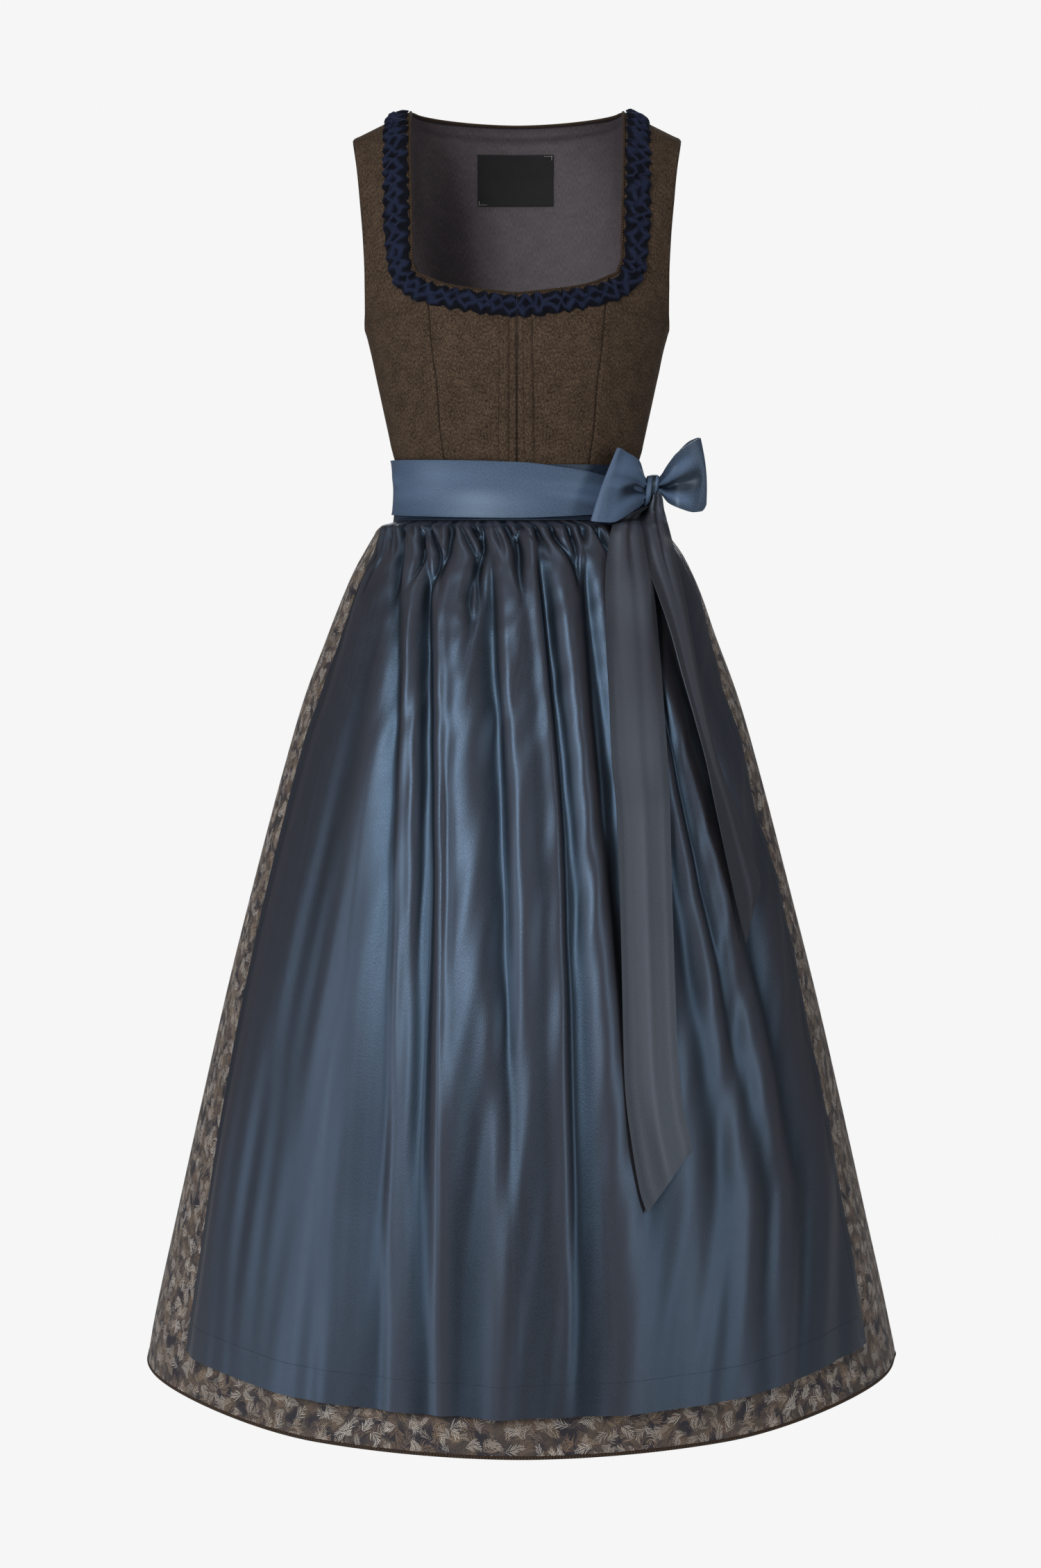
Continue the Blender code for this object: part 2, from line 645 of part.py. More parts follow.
def back_rows():
    """Half of the centre back, from the neck and shoulder down to the waist."""
    shares = (0.0, 0.22, 0.42, 0.56, NECK_X / TIP_X, 0.78, 0.89, 1.0)
    top_row = []
    second = []
    for share in shares:
        x = TIP_X * share
        top = shoulder_height(x)
        if share >= NECK_X / TIP_X:
            ease = SHOULDER_EASE * (1.0 - smooth(NECK_X, TIP_X, x))
            top_row.append(Vector((x, SHOULDER_Y + SEAM / 2.0 + ease, top)))
            second.append(Vector((x, SHOULDER_Y + SHOULDER_STRIP, top - SHOULDER_STRIP * STRIP_SLOPE)))
        else:
            top_row.append(Vector((x, back_top_y(x), top)))
            low = top - BACK_NECK_ROW
            second.append(bodice_point(section_angle(x, low), low, back=True))
    rows = [top_row, second]
    for edge_height in BACK_UPPER_ROWS + BACK_SEAM_ROWS:
        drop = min(1.0, (edge_height + SHOULDER_DROP) / (UNDERARM + SHOULDER_DROP))
        row = []
        for share in shares:
            height = edge_height
            if edge_height > UNDERARM:
                height = blend(shoulder_height(TIP_X * share), UNDERARM, drop)
            x = back_edge(edge_height) * share
            row.append(bodice_point(section_angle(x, height), height, back=True))
        rows.append(row)
    return rows


def back_edge(height):
    """Outer edge of the centre back: the armhole, then the back princess seam."""
    if height > BACK_SEAM_TOP:
        return read(ARMHOLE, ARM_COLUMNS, "x", height)
    return read(BACK_SEAM, BACK_SEAM_COLUMNS, "x", height) - SEAM


def whole(half):
    """A sheet on both sides of the middle, from its +X half."""
    return [[Vector((-p.x, p.y, p.z)) for p in reversed(row[1:])] + row for row in half]


def turned(rows):
    """The same sheet with its columns in the other order, for the back."""
    return [list(reversed(row)) for row in rows]


def side_back_rows():
    """A side back panel, from the lower armhole to the waist; columns from side to seam."""
    steps = 5
    rows = []
    for seam_height in BACK_SEAM_ROWS:
        share = (seam_height - BACK_SEAM_TOP) / (WAIST - BACK_SEAM_TOP)
        seam_x = read(BACK_SEAM, BACK_SEAM_COLUMNS, "x", seam_height)
        row = []
        for j in range(steps + 1):
            across = j / steps
            arm = blend(UNDERARM, BACK_SEAM_TOP, across)
            height = blend(arm, WAIST, share)
            on_arm = SIDE_ANGLE
            if arm > UNDERARM:
                on_arm = section_angle(read(ARMHOLE, ARM_COLUMNS, "x", arm), arm)
            level = blend(SIDE_ANGLE, section_angle(seam_x, seam_height), across)
            angle = blend(on_arm, level, smooth(0.0, 0.5, share))
            if across == 1.0:
                angle = section_angle(seam_x, seam_height)
            row.append(bodice_point(angle, height, back=True))
        rows.append(row)
    return rows


# The skirt and what lies on it

def skirt_point(angle, height, out=0.0):
    """A point of the skirt, from an angle in degrees round the waist, moved outwards."""
    turn = math.radians(angle)
    power = 2.0 / read(SKIRT, SKIRT_COLUMNS, "roundness", height)
    side = math.sin(turn)
    ahead = math.cos(turn)
    width = read(SKIRT, SKIRT_COLUMNS, "width", height)
    depth = read(SKIRT, SKIRT_COLUMNS, "front" if ahead > 0.0 else "back", height)
    middle = read(SKIRT, SKIRT_COLUMNS, "middle", height)
    x = width * math.copysign(abs(side) ** power, side)
    y = -depth * math.copysign(abs(ahead) ** power, ahead)
    away = Vector((side / width, -ahead / depth, 0.0)).normalized()
    rise = HEM_RISE * smooth(HEM_RISE_FROM, HEM_RISE_TO, abs(x) / width)
    lift = rise * max(0.0, (height - WAIST) / (TAPE_HEM - WAIST)) ** 2
    return Vector((middle + x, y, height + lift)) + away * out


def skirt_before(x, height, lift):
    """A point in front of the skirt, seen at x and a height."""
    width = read(SKIRT, SKIRT_COLUMNS, "width", height)
    depth = read(SKIRT, SKIRT_COLUMNS, "front", height)
    power = read(SKIRT, SKIRT_COLUMNS, "roundness", height)
    share = min(1.0, abs(x - read(SKIRT, SKIRT_COLUMNS, "middle", height)) / width)
    y = -depth * (1.0 - share ** power) ** (1.0 / power)
    return Vector((x, y - lift, height))


def pleats(angle, turn, height):
    """How far the skirt's pleats and folds stand out, where the apron doesn't lie."""
    around = angle % 360.0
    bare = smooth(*PLEATS_IN, around) * (1.0 - smooth(*PLEATS_OUT, around))
    grow = smooth(GATHERS_START, GATHERS_FULL, height)
    fade = 1.0 - smooth(0.0, PLEAT_REACH, GATHERS_FULL - height)
    out = turn * PLEAT_HEIGHT * grow * fade * bare
    for top, hem, rise, half_width, begins in SKIRT_FOLDS:
        share = max(0.0, (begins - height) / (begins - SKIRT_HEM))
        width = read(SKIRT, SKIRT_COLUMNS, "width", height)
        away = math.radians(around - blend(top, hem, share)) * width / half_width
        out += rise * smooth(0.0, FOLD_GROWTH, share) * math.exp(-away * away)
    return out


def skirt_rows(start, end, columns, pleated, heights, seam_gap=True):
    """A stretch of the skirt between two angles; every other column is a pleat's ridge."""
    rows = []
    for height in heights:
        gap = 0.0
        if seam_gap:
            gap = math.degrees(SEAM / 2.0 / read(SKIRT, SKIRT_COLUMNS, "back", height))
        row = []
        for j in range(columns + 1):
            angle = blend(start + gap, end - gap, j / columns)
            turn = j % 2 if pleated else 0
            row.append(skirt_point(angle, height, pleats(angle, turn, height)))
        rows.append(row)
    return rows


def fold_place(top, middle, hem, height):
    """Place of an apron fold across the apron, on a curve through three heights."""
    if height > FOLD_MIDDLE:
        return blend(top, middle, smooth(APRON_TOP, FOLD_MIDDLE, height))
    return blend(middle, hem, smooth(FOLD_MIDDLE, FOLD_LOW, height))


def slant(height):
    """How much longer the way straight out is than the gap, where the skirt spreads."""
    here = read(SKIRT, SKIRT_COLUMNS, "width", height)
    below = read(SKIRT, SKIRT_COLUMNS, "width", height - SLANT_REACH) - here
    above = here - read(SKIRT, SKIRT_COLUMNS, "width", height + SLANT_REACH)
    return math.hypot(1.0, max(below, above) / SLANT_REACH)


def apron_out(share, turn, height):
    """How far the apron's outer face stands off the skirt."""
    side = smooth(0.0, GATHER_SIDE, share) * (1.0 - smooth(1.0 - GATHER_SIDE, 1.0, share))
    grow = smooth(APRON_TOP, GATHERS_FULL, height)
    fade = 1.0 - smooth(0.0, GATHER_REACH, GATHERS_FULL - height)
    wave = math.sin(GATHER_WAVES[0] * share) * math.cos(GATHER_WAVES[1] * share)
    uneven = 1.0 - GATHER_UNEVENNESS * (1.0 - wave)
    spread = smooth(0.0, APRON_SPREAD, APRON_TOP - height)
    out = blend(APRON_TUCK, APRON_LIFT * slant(height), spread)
    out += turn * GATHER_HEIGHT * grow * fade * side * uneven
    for top, middle, hem, rise, half_width, begins in APRON_FOLDS:
        away = (share - fold_place(top, middle, hem, height)) / half_width
        out += rise * smooth(begins, begins - FOLD_RISE_DROP, height) * math.exp(-away * away)
    return out


def apron_point(share, height, turn):
    """A point of the apron, by its place across and its height."""
    left = read(APRON_EDGES, APRON_EDGE_COLUMNS, "left", height)
    right = read(APRON_EDGES, APRON_EDGE_COLUMNS, "right", height)
    drop = smooth(APRON_CORNER_START, APRON_HEM, height)
    corner = APRON_CORNER_RISE * drop * abs(2.0 * share - 1.0) ** 2
    return skirt_point(blend(left, right, share), height + corner, apron_out(share, turn, height))


def apron_rows():
    """The apron, gathered at its top; every other column is a gather's ridge."""
    columns = 2 * APRON_GATHERS
    return [[apron_point(j / columns, height, j % 2) for j in range(columns + 1)]
            for height in APRON_ROWS]


def waist_point(angle, height, out):
    """A point round the waist, from an angle in degrees, moved outwards."""
    turn = math.radians(angle)
    power = 2.0 / BODICE_ROUNDNESS
    side = math.sin(turn)
    ahead = math.cos(turn)
    width = read(WAIST_SECTIONS, WAIST_COLUMNS, "width", height) + out
    depth = read(WAIST_SECTIONS, WAIST_COLUMNS, "front" if ahead > 0.0 else "back", height) + out
    x = width * math.copysign(abs(side) ** power, side)
    y = -depth * math.copysign(abs(ahead) ** power, ahead)
    return Vector((x, y, height))


def sash_rows():
    """The sash round the waist, drawn together at the knot."""
    columns = 40
    rows = []
    for down in range(4):
        row = []
        for j in range(columns):
            angle = -180.0 + 360.0 * j / columns
            top = read(SASH_EDGES, SASH_COLUMNS, "top", angle)
            bottom = read(SASH_EDGES, SASH_COLUMNS, "bottom", angle)
            rise = read(SASH_EDGES, SASH_COLUMNS, "rise", angle)
            out = SASH_OUT + rise + SASH_BELLY * math.sin(math.pi * down / 3.0)
            row.append(waist_point(angle, blend(top, bottom, down / 3.0), out))
        rows.append(row)
    return rows


def tail_rows(table):
    """A hanging ribbon from its sections, a little hollow across."""
    rows = []
    for left_height, left_x, left_lift, right_height, right_x, right_lift in table:
        left = skirt_before(left_x, left_height, left_lift)
        right = skirt_before(right_x, right_height, right_lift)
        row = []
        for j in range(RIBBON_STEPS + 1):
            across = j / RIBBON_STEPS
            point = left.lerp(right, across)
            point.y -= RIBBON_HOLLOW * math.sin(math.pi * across)
            row.append(point)
        rows.append(row)
    return rows


def loop_rows(table):
    """A loop of the bow: rows run along the band's width, columns round the loop."""
    across = 4
    rows = []
    for i in range(across + 1):
        share = i / across
        row = []
        for top_x, top_y, top_z, low_x, low_y, low_z, middle_x, middle_y in table:
            top = Vector((top_x, top_y, top_z))
            low = Vector((low_x, low_y, low_z))
            middle = Vector((middle_x, middle_y, 0.0)) * math.sin(math.pi * share)
            row.append(top.lerp(low, share) + middle)
        rows.append(row)
    return rows


# The ruche and the piping round the neck

def ruche_place(share, across):
    """A point on the bodice under the ruche, by its place along and across it."""
    inner_x = read(RUCHE, RUCHE_COLUMNS, "inner_x", share)
    inner_z = read(RUCHE, RUCHE_COLUMNS, "inner_z", share)
    outer_x = read(RUCHE, RUCHE_COLUMNS, "outer_x", share)
    outer_z = read(RUCHE, RUCHE_COLUMNS, "outer_z", share)
    return front_point(blend(inner_x, outer_x, across), blend(inner_z, outer_z, across))


def even_shares(count):
    """Places along the ruche that lie at even distances on the body."""
    samples = 200
    lengths = [0.0]
    before = ruche_place(0.0, 0.5)
    for i in range(1, samples + 1):
        now = ruche_place(i / samples, 0.5)
        lengths.append(lengths[-1] + (now - before).length)
        before = now
    shares = []
    at = 0
    for k in range(count + 1):
        wanted = lengths[-1] * k / count
        while at < samples - 1 and lengths[at + 1] < wanted:
            at += 1
        step = lengths[at + 1] - lengths[at]
        shares.append((at + (wanted - lengths[at]) / step) / samples)
    return shares


def ruche_rows():
    """Half of the ruche, from the shoulder to the front; rows run across it."""
    count = len(PINCH_HEIGHTS)
    shares = even_shares(2 * RUCHE_UNITS)
    flat = turned([[ruche_place(share, i / (count - 1)) for share in shares] for i in range(count)])
    rows = []
    for i, ways in enumerate(normals(flat)):
        row = []
        for k, way in enumerate(ways):
            at_end = k in (0, 2 * RUCHE_UNITS)
            heights = OPEN_HEIGHTS if k % 2 or at_end else PINCH_HEIGHTS
            row.append(flat[i][k] + way * (RUCHE_BASE + heights[i]))
        rows.append(row)
    return rows


def neck_edge():
    """Half of the front's neck edge as the panels have it, from the shoulder to the middle."""
    neck_x, neck_foot = NECK_BOTTOM[-1]
    heights = [inner for inner, _ in SIDE_ROWS if inner >= neck_foot]
    places = [(read(INNER_EDGE, INNER_COLUMNS, "x", height), height) for height in heights]
    for step in (4, 3, 2, 1, 0):
        x = neck_x * step / 5.0
        places.append((x, read(NECK_BOTTOM, NECK_COLUMNS, "height", x)))
    return places


def piping_path():
    """The middle of the piping, all round the neck, from the middle of the front."""
    places = list(reversed(neck_edge()))
    half = []
    for i, (x, height) in enumerate(places):
        before = places[max(0, i - 1)]
        after = places[min(len(places) - 1, i + 1)]
        along = Vector((after[0] - before[0], 0.0, after[1] - before[1])).normalized()
        inward = Vector((-along.z, 0.0, along.x))
        point = front_point(x, height) + inward * PIPING_OUT
        half.append(point + Vector((0.0, TWILL / 2.0, 0.0)))
    half[0].x = 0.0
    for inside, ahead, height in PIPING_SHOULDER:
        half.append(Vector((NECK_X - inside, SHOULDER_Y - ahead, height)))
    for share in PIPING_BACK:
        x = NECK_X * share
        near = smooth(PIPING_NEAR, 1.0, share)
        rise = Vector((-PIPING_IN * near, -TWILL / 2.0, PIPING_OUT + PIPING_UP * near))
        half.append(Vector((x, back_top_y(x), shoulder_height(x))) + rise)
    other = [Vector((-p.x, p.y, p.z)) for p in reversed(half[1:-1])]
    return half + other


def tube(name, path, radius, surface, closed):
    """A round cord along a path."""
    curve = bpy.data.curves.new(name, "CURVE")
    curve.dimensions = "3D"
    curve.bevel_depth = radius
    curve.bevel_resolution = 1
    curve.use_fill_caps = True
    spline = curve.splines.new("POLY")
    spline.points.add(len(path) - 1)
    for point, place in zip(spline.points, path):
        point.co = (*place, 1.0)
    spline.use_cyclic_u = closed
    made = bpy.data.objects.new(name, curve)
    curve.materials.append(surface)
    bpy.context.scene.collection.objects.link(made)
    return made


# The pieces

def build_bodice():
    """Front, side front, back and side back panels with their tucks."""
    twill = material("brown_twill", (0.060, 0.042, 0.028), 0.85)
    side = side_front_rows()
    front = centre_front_rows()
    side_back = side_back_rows()
    wall("bodice_front_left", front, TWILL, twill)
    wall("bodice_front_right", mirrored(front), TWILL, twill)
    wall("bodice_side_front_left", side, TWILL, twill)
    wall("bodice_side_front_right", mirrored(side), TWILL, twill)
    wall("bodice_side_back_left", side_back, TWILL, twill)
    wall("bodice_side_back_right", mirrored(side_back), TWILL, twill)
    wall("bodice_back", turned(whole(back_rows())), TWILL, twill)
    steps = 6
    for name, start, end in TUCKS:
        rows = []
        for i in range(steps + 1):
            height = blend(TUCK_TOP, TUCK_FOOT, i / steps)
            rows.append([front_point(blend(start, end, j / 2.0), height) for j in range(3)])
        wall(name, moved_out(rows, TUCK_OUT), SATIN, twill)


def lining_rows():
    """The back lining from the back panel's own points, moved inwards under its rolled edge."""
    back = whole(back_rows())
    cut = len(back[0]) // 2 - LINING_COLUMNS
    rows = turned([row[cut:len(row) - cut] for row in back[1:LINING_ROWS + 1]])
    made = []
    for i, ways in enumerate(normals(rows)):
        roll = LINING_ROLL[i] if i < len(LINING_ROLL) else 0.0
        depth = TWILL + 2.0 * SEAM + roll
        made.append([point - way * depth for point, way in zip(rows[i], ways)])
    return made


def build_lining():
    """The lining inside the back, where it shows in the neck, and the bare label on it."""
    grey = material("grey_lining", (0.062, 0.055, 0.060), 0.35)
    black = material("black_label", (0.012, 0.012, 0.013), 0.55)
    rows = lining_rows()
    wall("bodice_lining_back", rows, LINING, grey)
    face = grid_mesh("lining_face", moved_out(rows, -LINING))
    tree = BVHTree.FromPolygons([v.co for v in face.vertices], [p.vertices for p in face.polygons])
    bpy.data.meshes.remove(face)
    label = []
    for i in range(5):
        row = []
        for j in range(7):
            x = blend(LABEL_LEFT, LABEL_RIGHT, j / 6.0)
            height = blend(LABEL_TOP, LABEL_FOOT, i / 4.0)
            place = tree.ray_cast(Vector((x, 0.0, height)), Vector((0.0, 1.0, 0.0)))[0]
            row.append(place - Vector((0.0, SATIN + 2.0 * SEAM, 0.0)))
        label.append(row)
    wall("neck_label", label, SATIN, black)


def build_neck():
    """The ruche, the piping and the hook of the front closure."""
    velvet = material("navy_velvet", (0.010, 0.020, 0.060), 0.90)
    braid = material("brown_braid", (0.035, 0.024, 0.016), 0.80)
    steel = material("hook_steel", (0.55, 0.55, 0.56), 0.30, 1.0)
    half = ruche_rows()
    wall("neck_ruche_left", half, VELVET, velvet)
    wall("neck_ruche_right", mirrored(half), VELVET, velvet)
    tube("neck_piping", piping_path(), PIPING_RADIUS, braid, True)
    x, height = HOOK_PLACE
    base = front_point(x, height)
    path = []
    for turn in range(HOOK_TURNS + 1):
        angle = math.pi * (turn / HOOK_TURNS - 0.5)
        bend = Vector((HOOK_REACH / 2.0 * math.cos(angle), -HOOK_OUT, HOOK_BEND * math.sin(angle)))
        path.append(base + bend)
    path.insert(0, path[0] - Vector((HOOK_REACH, 0.0, 0.0)))
    path.append(path[-1] - Vector((HOOK_REACH, 0.0, 0.0)))
    tube("front_hook", path, HOOK_WIRE, steel, False)


def build_skirt():
    """Five skirt panels and the hem tape."""
    brocade = material("frond_brocade", (0.055, 0.048, 0.046), 0.60)
    tape = material("hem_twill", (0.045, 0.030, 0.020), 0.85)
    for name, start, end, columns, pleated in SKIRT_PANELS:
        wall(name, skirt_rows(start, end, columns, pleated, SKIRT_ROWS), BROCADE, brocade)
    ring = []
    levels = (SKIRT_HEM - 2.0 * SEAM, TAPE_HEM)
    for level in levels:
        row = []
        for _, start, end, columns, pleated in SKIRT_PANELS:
            line = skirt_rows(start, end, columns, pleated, (SKIRT_HEM,), seam_gap=False)[0]
            row.extend(point + Vector((0.0, 0.0, level - SKIRT_HEM)) for point in line[:-1])
        ring.append(row)
    wall("hem_tape", ring, TAPE, tape, closed=True)


def build_apron():
    """The apron, its waistband, the sash and the bow."""
    shot = material("shot_satin", (0.050, 0.068, 0.095), 0.35, 0.2)
    blue = material("blue_satin", (0.085, 0.150, 0.240), 0.35, 0.2)
    dark = material("dark_satin", (0.050, 0.050, 0.055), 0.40, 0.2)
    wall("apron", apron_rows(), SATIN, shot)
    columns = 32
    band = [[waist_point(blend(-WAISTBAND_REACH, WAISTBAND_REACH, j / columns), height, WAISTBAND_OUT)
             for j in range(columns + 1)] for height in WAISTBAND_ROWS]
    wall("apron_waistband", band, SATIN, blue)
    wall("sash", sash_rows(), SASH_THICKNESS, blue, closed=True)
    wall("bow_tail_front", tail_rows(TAIL_FRONT), RIBBON, dark)
    wall("bow_tail_side", tail_rows(TAIL_SIDE), RIBBON, dark)
    wall("bow_loop_left", turned(loop_rows(LOOP_LEFT)), RIBBON, blue)
    wall("bow_loop_right", loop_rows(LOOP_RIGHT), RIBBON, blue)
    shape = bmesh.new()
    bmesh.ops.create_uvsphere(shape, u_segments=16, v_segments=10, radius=1.0)
    for vert in shape.verts:
        for axis in range(3):
            value = vert.co[axis]
            vert.co[axis] = math.copysign(abs(value) ** KNOT_ROUNDNESS, value) * KNOT_SIZE[axis]
        vert.co.x += KNOT_LEAN * vert.co.z
        vert.co += Vector(KNOT_CENTRE)
    mesh = bpy.data.meshes.new("bow_knot")
    shape.to_mesh(mesh)
    shape.free()
    mesh.shade_smooth()
    add_object("bow_knot", mesh, blue)


build_bodice()
build_lining()
build_neck()
build_skirt()
build_apron()
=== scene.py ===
# %% [markdown]
# # A dirndl, dressed in cloth
# The imported model is the frame of this lesson: stiff walls in the right places. Here each wall
# gets its cloth. Every piece is drawn again on the same form, finer, with the folds and creases
# that a needlewoman would see, and then it gets a material that is made of nodes alone.
# Lengths are metres, +Z is up, +X is the wearer's left and -Y is the front. The larger tables
# are written in millimetres.

# %% The frame
import math

import bpy
import numpy as np
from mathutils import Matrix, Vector
from mathutils.bvhtree import BVHTree


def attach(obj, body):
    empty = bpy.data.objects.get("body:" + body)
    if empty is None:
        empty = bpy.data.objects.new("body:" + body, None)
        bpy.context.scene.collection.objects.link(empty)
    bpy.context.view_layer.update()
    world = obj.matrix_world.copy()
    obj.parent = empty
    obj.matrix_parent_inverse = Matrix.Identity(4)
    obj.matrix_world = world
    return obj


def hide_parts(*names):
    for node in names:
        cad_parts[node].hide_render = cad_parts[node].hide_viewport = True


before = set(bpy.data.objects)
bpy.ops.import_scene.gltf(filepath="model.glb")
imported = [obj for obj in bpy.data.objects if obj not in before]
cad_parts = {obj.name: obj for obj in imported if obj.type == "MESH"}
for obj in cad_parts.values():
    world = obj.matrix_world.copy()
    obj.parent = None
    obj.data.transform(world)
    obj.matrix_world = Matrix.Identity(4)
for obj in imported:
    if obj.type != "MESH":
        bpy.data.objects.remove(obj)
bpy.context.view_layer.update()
print("nodes in the frame:", len(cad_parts))


def add(made):
    """Put a new object into the scene."""
    bpy.context.scene.collection.objects.link(made)
    return made


# %% [markdown]
# ## Camera
# The dress was photographed from three metres, a little from above. A long lens keeps the
# upper and lower edges nearly parallel, so the camera looks down by only four and a half
# degrees and needs no shift.

# %% Camera
CAMERA_PLACE = (0.0035, -3.0, -0.4354)
LOOKS_DOWN = 4.496
camera_data = bpy.data.cameras.new("camera")
camera_data.lens = 68.27
camera_data.sensor_width = 36.0
camera = add(bpy.data.objects.new("camera", camera_data))
camera.location = CAMERA_PLACE
camera.rotation_euler = (math.radians(90.0 - LOOKS_DOWN), 0.0, 0.0)
bpy.context.scene.camera = camera
print("camera at", CAMERA_PLACE)

# %% [markdown]
# ## Curves through short tables
# A dressmaker's body is known by a few sections. Each table below has a row for each section,
# and a smooth curve without overshoot goes through every column, so that a piece can be drawn
# as finely as it needs.

# %% Smooth curves and soft shapes
MM = 0.001


def in_metres(rows, *plain_columns):
    """A table in millimetres turned to metres, but for its plain columns."""
    return [tuple(v if i in plain_columns else v * MM for i, v in enumerate(row)) for row in rows]


def smooth_curve(rows, column):
    """A function that reads one column of a table between its rows, without overshoot."""
    rows = sorted(rows, key=lambda row: row[0])
    x = np.array([row[0] for row in rows], float)
    y = np.array([row[column] for row in rows], float)
    step = np.diff(x)
    slope = np.diff(y) / step
    tangent = np.concatenate([slope[:1], np.zeros(len(y) - 2), slope[-1:]])
    for i in range(1, len(slope)):
        if slope[i - 1] * slope[i] > 0.0:
            first = 2.0 * step[i] + step[i - 1]
            second = step[i] + 2.0 * step[i - 1]
            tangent[i] = (first + second) / (first / slope[i - 1] + second / slope[i])

    def at(value):
        value = np.clip(value, x[0], x[-1])
        i = np.clip(np.searchsorted(x, value, side="right") - 1, 0, len(step) - 1)
        t = (value - x[i]) / step[i]
        start = (1 + 2 * t) * (1 - t) ** 2 * y[i] + t * (1 - t) ** 2 * step[i] * tangent[i]
        return start + t * t * (3 - 2 * t) * y[i + 1] + t * t * (t - 1) * step[i] * tangent[i + 1]

    return at


def smooth_curves(rows):
    """A smooth curve for every column after the first."""
    return [smooth_curve(rows, i) for i in range(1, len(rows[0]))]


def soft_step(low, high, value):
    """0 below low, 1 above high, with a soft step between them."""
    t = np.clip((np.asarray(value, float) - low) / (high - low), 0.0, 1.0)
    return t * t * (3.0 - 2.0 * t)


def between_steps(low, start, end, high, value):
    """1 from start to end, with a soft step up before it and a soft step down after it."""
    return soft_step(low, start, value) * (1.0 - soft_step(end, high, value))


def hill(away, reach):
    """1 in the middle, falling softly to a third at its reach."""
    return np.exp(-(away / reach) ** 2)


def blend(a, b, share):
    """What lies the share of the way from a to b."""
    return a + (b - a) * share


# %% [markdown]
# ## From a grid of points to a piece of cloth
# A piece of cloth is a grid: rows down the piece, columns round the body. The grid gives the
# faces, a map of the cloth in real metres for the weave, and the outward normals that lift a
# fold. The Solidify modifier then gives the grid the thickness of its cloth, and the result is
# turned into a plain mesh.

# %% Grids
def unit(vectors):
    """Arrows of length one."""
    return vectors / np.maximum(np.linalg.norm(vectors, axis=-1, keepdims=True), 1e-12)


def normals_of(grid, closed=False):
    """Outward normals of a grid of points, each taken together with its neighbours."""
    if closed:
        right = np.roll(grid, -1, axis=1) - np.roll(grid, 1, axis=1)
    else:
        right = np.gradient(grid, axis=1)
    normal = np.cross(np.gradient(grid, axis=0), right)
    beside = np.pad(normal, ((0, 0), (1, 1), (0, 0)), mode="wrap" if closed else "edge")
    normal = beside[:, :-2] + beside[:, 1:-1] + beside[:, 2:]
    above = np.pad(normal, ((1, 1), (0, 0), (0, 0)), mode="edge")
    return unit(above[:-2] + above[1:-1] + above[2:])


def raised(grid, height, closed=False):
    """The grid moved out along its normals by a height that may differ from point to point."""
    return grid + normals_of(grid, closed) * np.asarray(height)[..., None]


def mirrored(grid):
    """The same piece on the other side of the body."""
    return grid[:, ::-1] * np.array([-1.0, 1.0, 1.0])


def lengths(grid, axis):
    """Distances along the rows or columns of a grid, from its first point."""
    steps = np.linalg.norm(np.diff(grid, axis=axis), axis=-1)
    start = np.zeros_like(np.take(grid[..., 0], [0], axis=axis))
    return np.concatenate([start, np.cumsum(steps, axis=axis)], axis=axis)


def quads_of(high, across, closed=False):
    """Faces of a grid of points, as their corners' numbers."""
    index = np.arange(high * across).reshape(high, across)
    beyond = np.roll(index, -1, axis=1)
    last = across if closed else across - 1
    faces = [index[:-1, :last], index[1:, :last], beyond[1:, :last], beyond[:-1, :last]]
    return np.stack(faces, -1).reshape(-1, 4).tolist()


def corners_of(mesh):
    """The number of the point at every face corner."""
    corner = np.zeros(len(mesh.loops), np.int32)
    mesh.loops.foreach_get("vertex_index", corner)
    return corner


def give_map(mesh, along, down):
    """Write the cloth map, in metres for every face corner."""
    layer = mesh.uv_layers.new(name="cloth")
    layer.data.foreach_set("uv", np.stack([along, down], -1).astype(np.float32).ravel())


def mark_points(mesh, marks, kind="FLOAT"):
    """Numbers or arrows for every point, by name, that a material or a tree may read."""
    for name, values in marks.items():
        field = "value" if kind == "FLOAT" else "vector"
        made = mesh.attributes.new(name, kind, "POINT")
        made.data.foreach_set(field, np.asarray(values, np.float32).ravel())


def plain(made):
    """The object with its modifiers' result as its own mesh, and no modifier left."""
    bpy.context.view_layer.update()
    result = bpy.data.meshes.new_from_object(made.evaluated_get(bpy.context.evaluated_depsgraph_get()))
    made.modifiers.clear()
    made.data = result
    result.name = made.name
    result.set_sharp_from_angle(angle=math.radians(70.0))
    return made


def thicken(made, thickness):
    """Give a sheet its wall, inwards, and make it plain."""
    wall = made.modifiers.new("Wall", "SOLIDIFY")
    wall.thickness = thickness
    wall.offset = -1.0
    return plain(made)


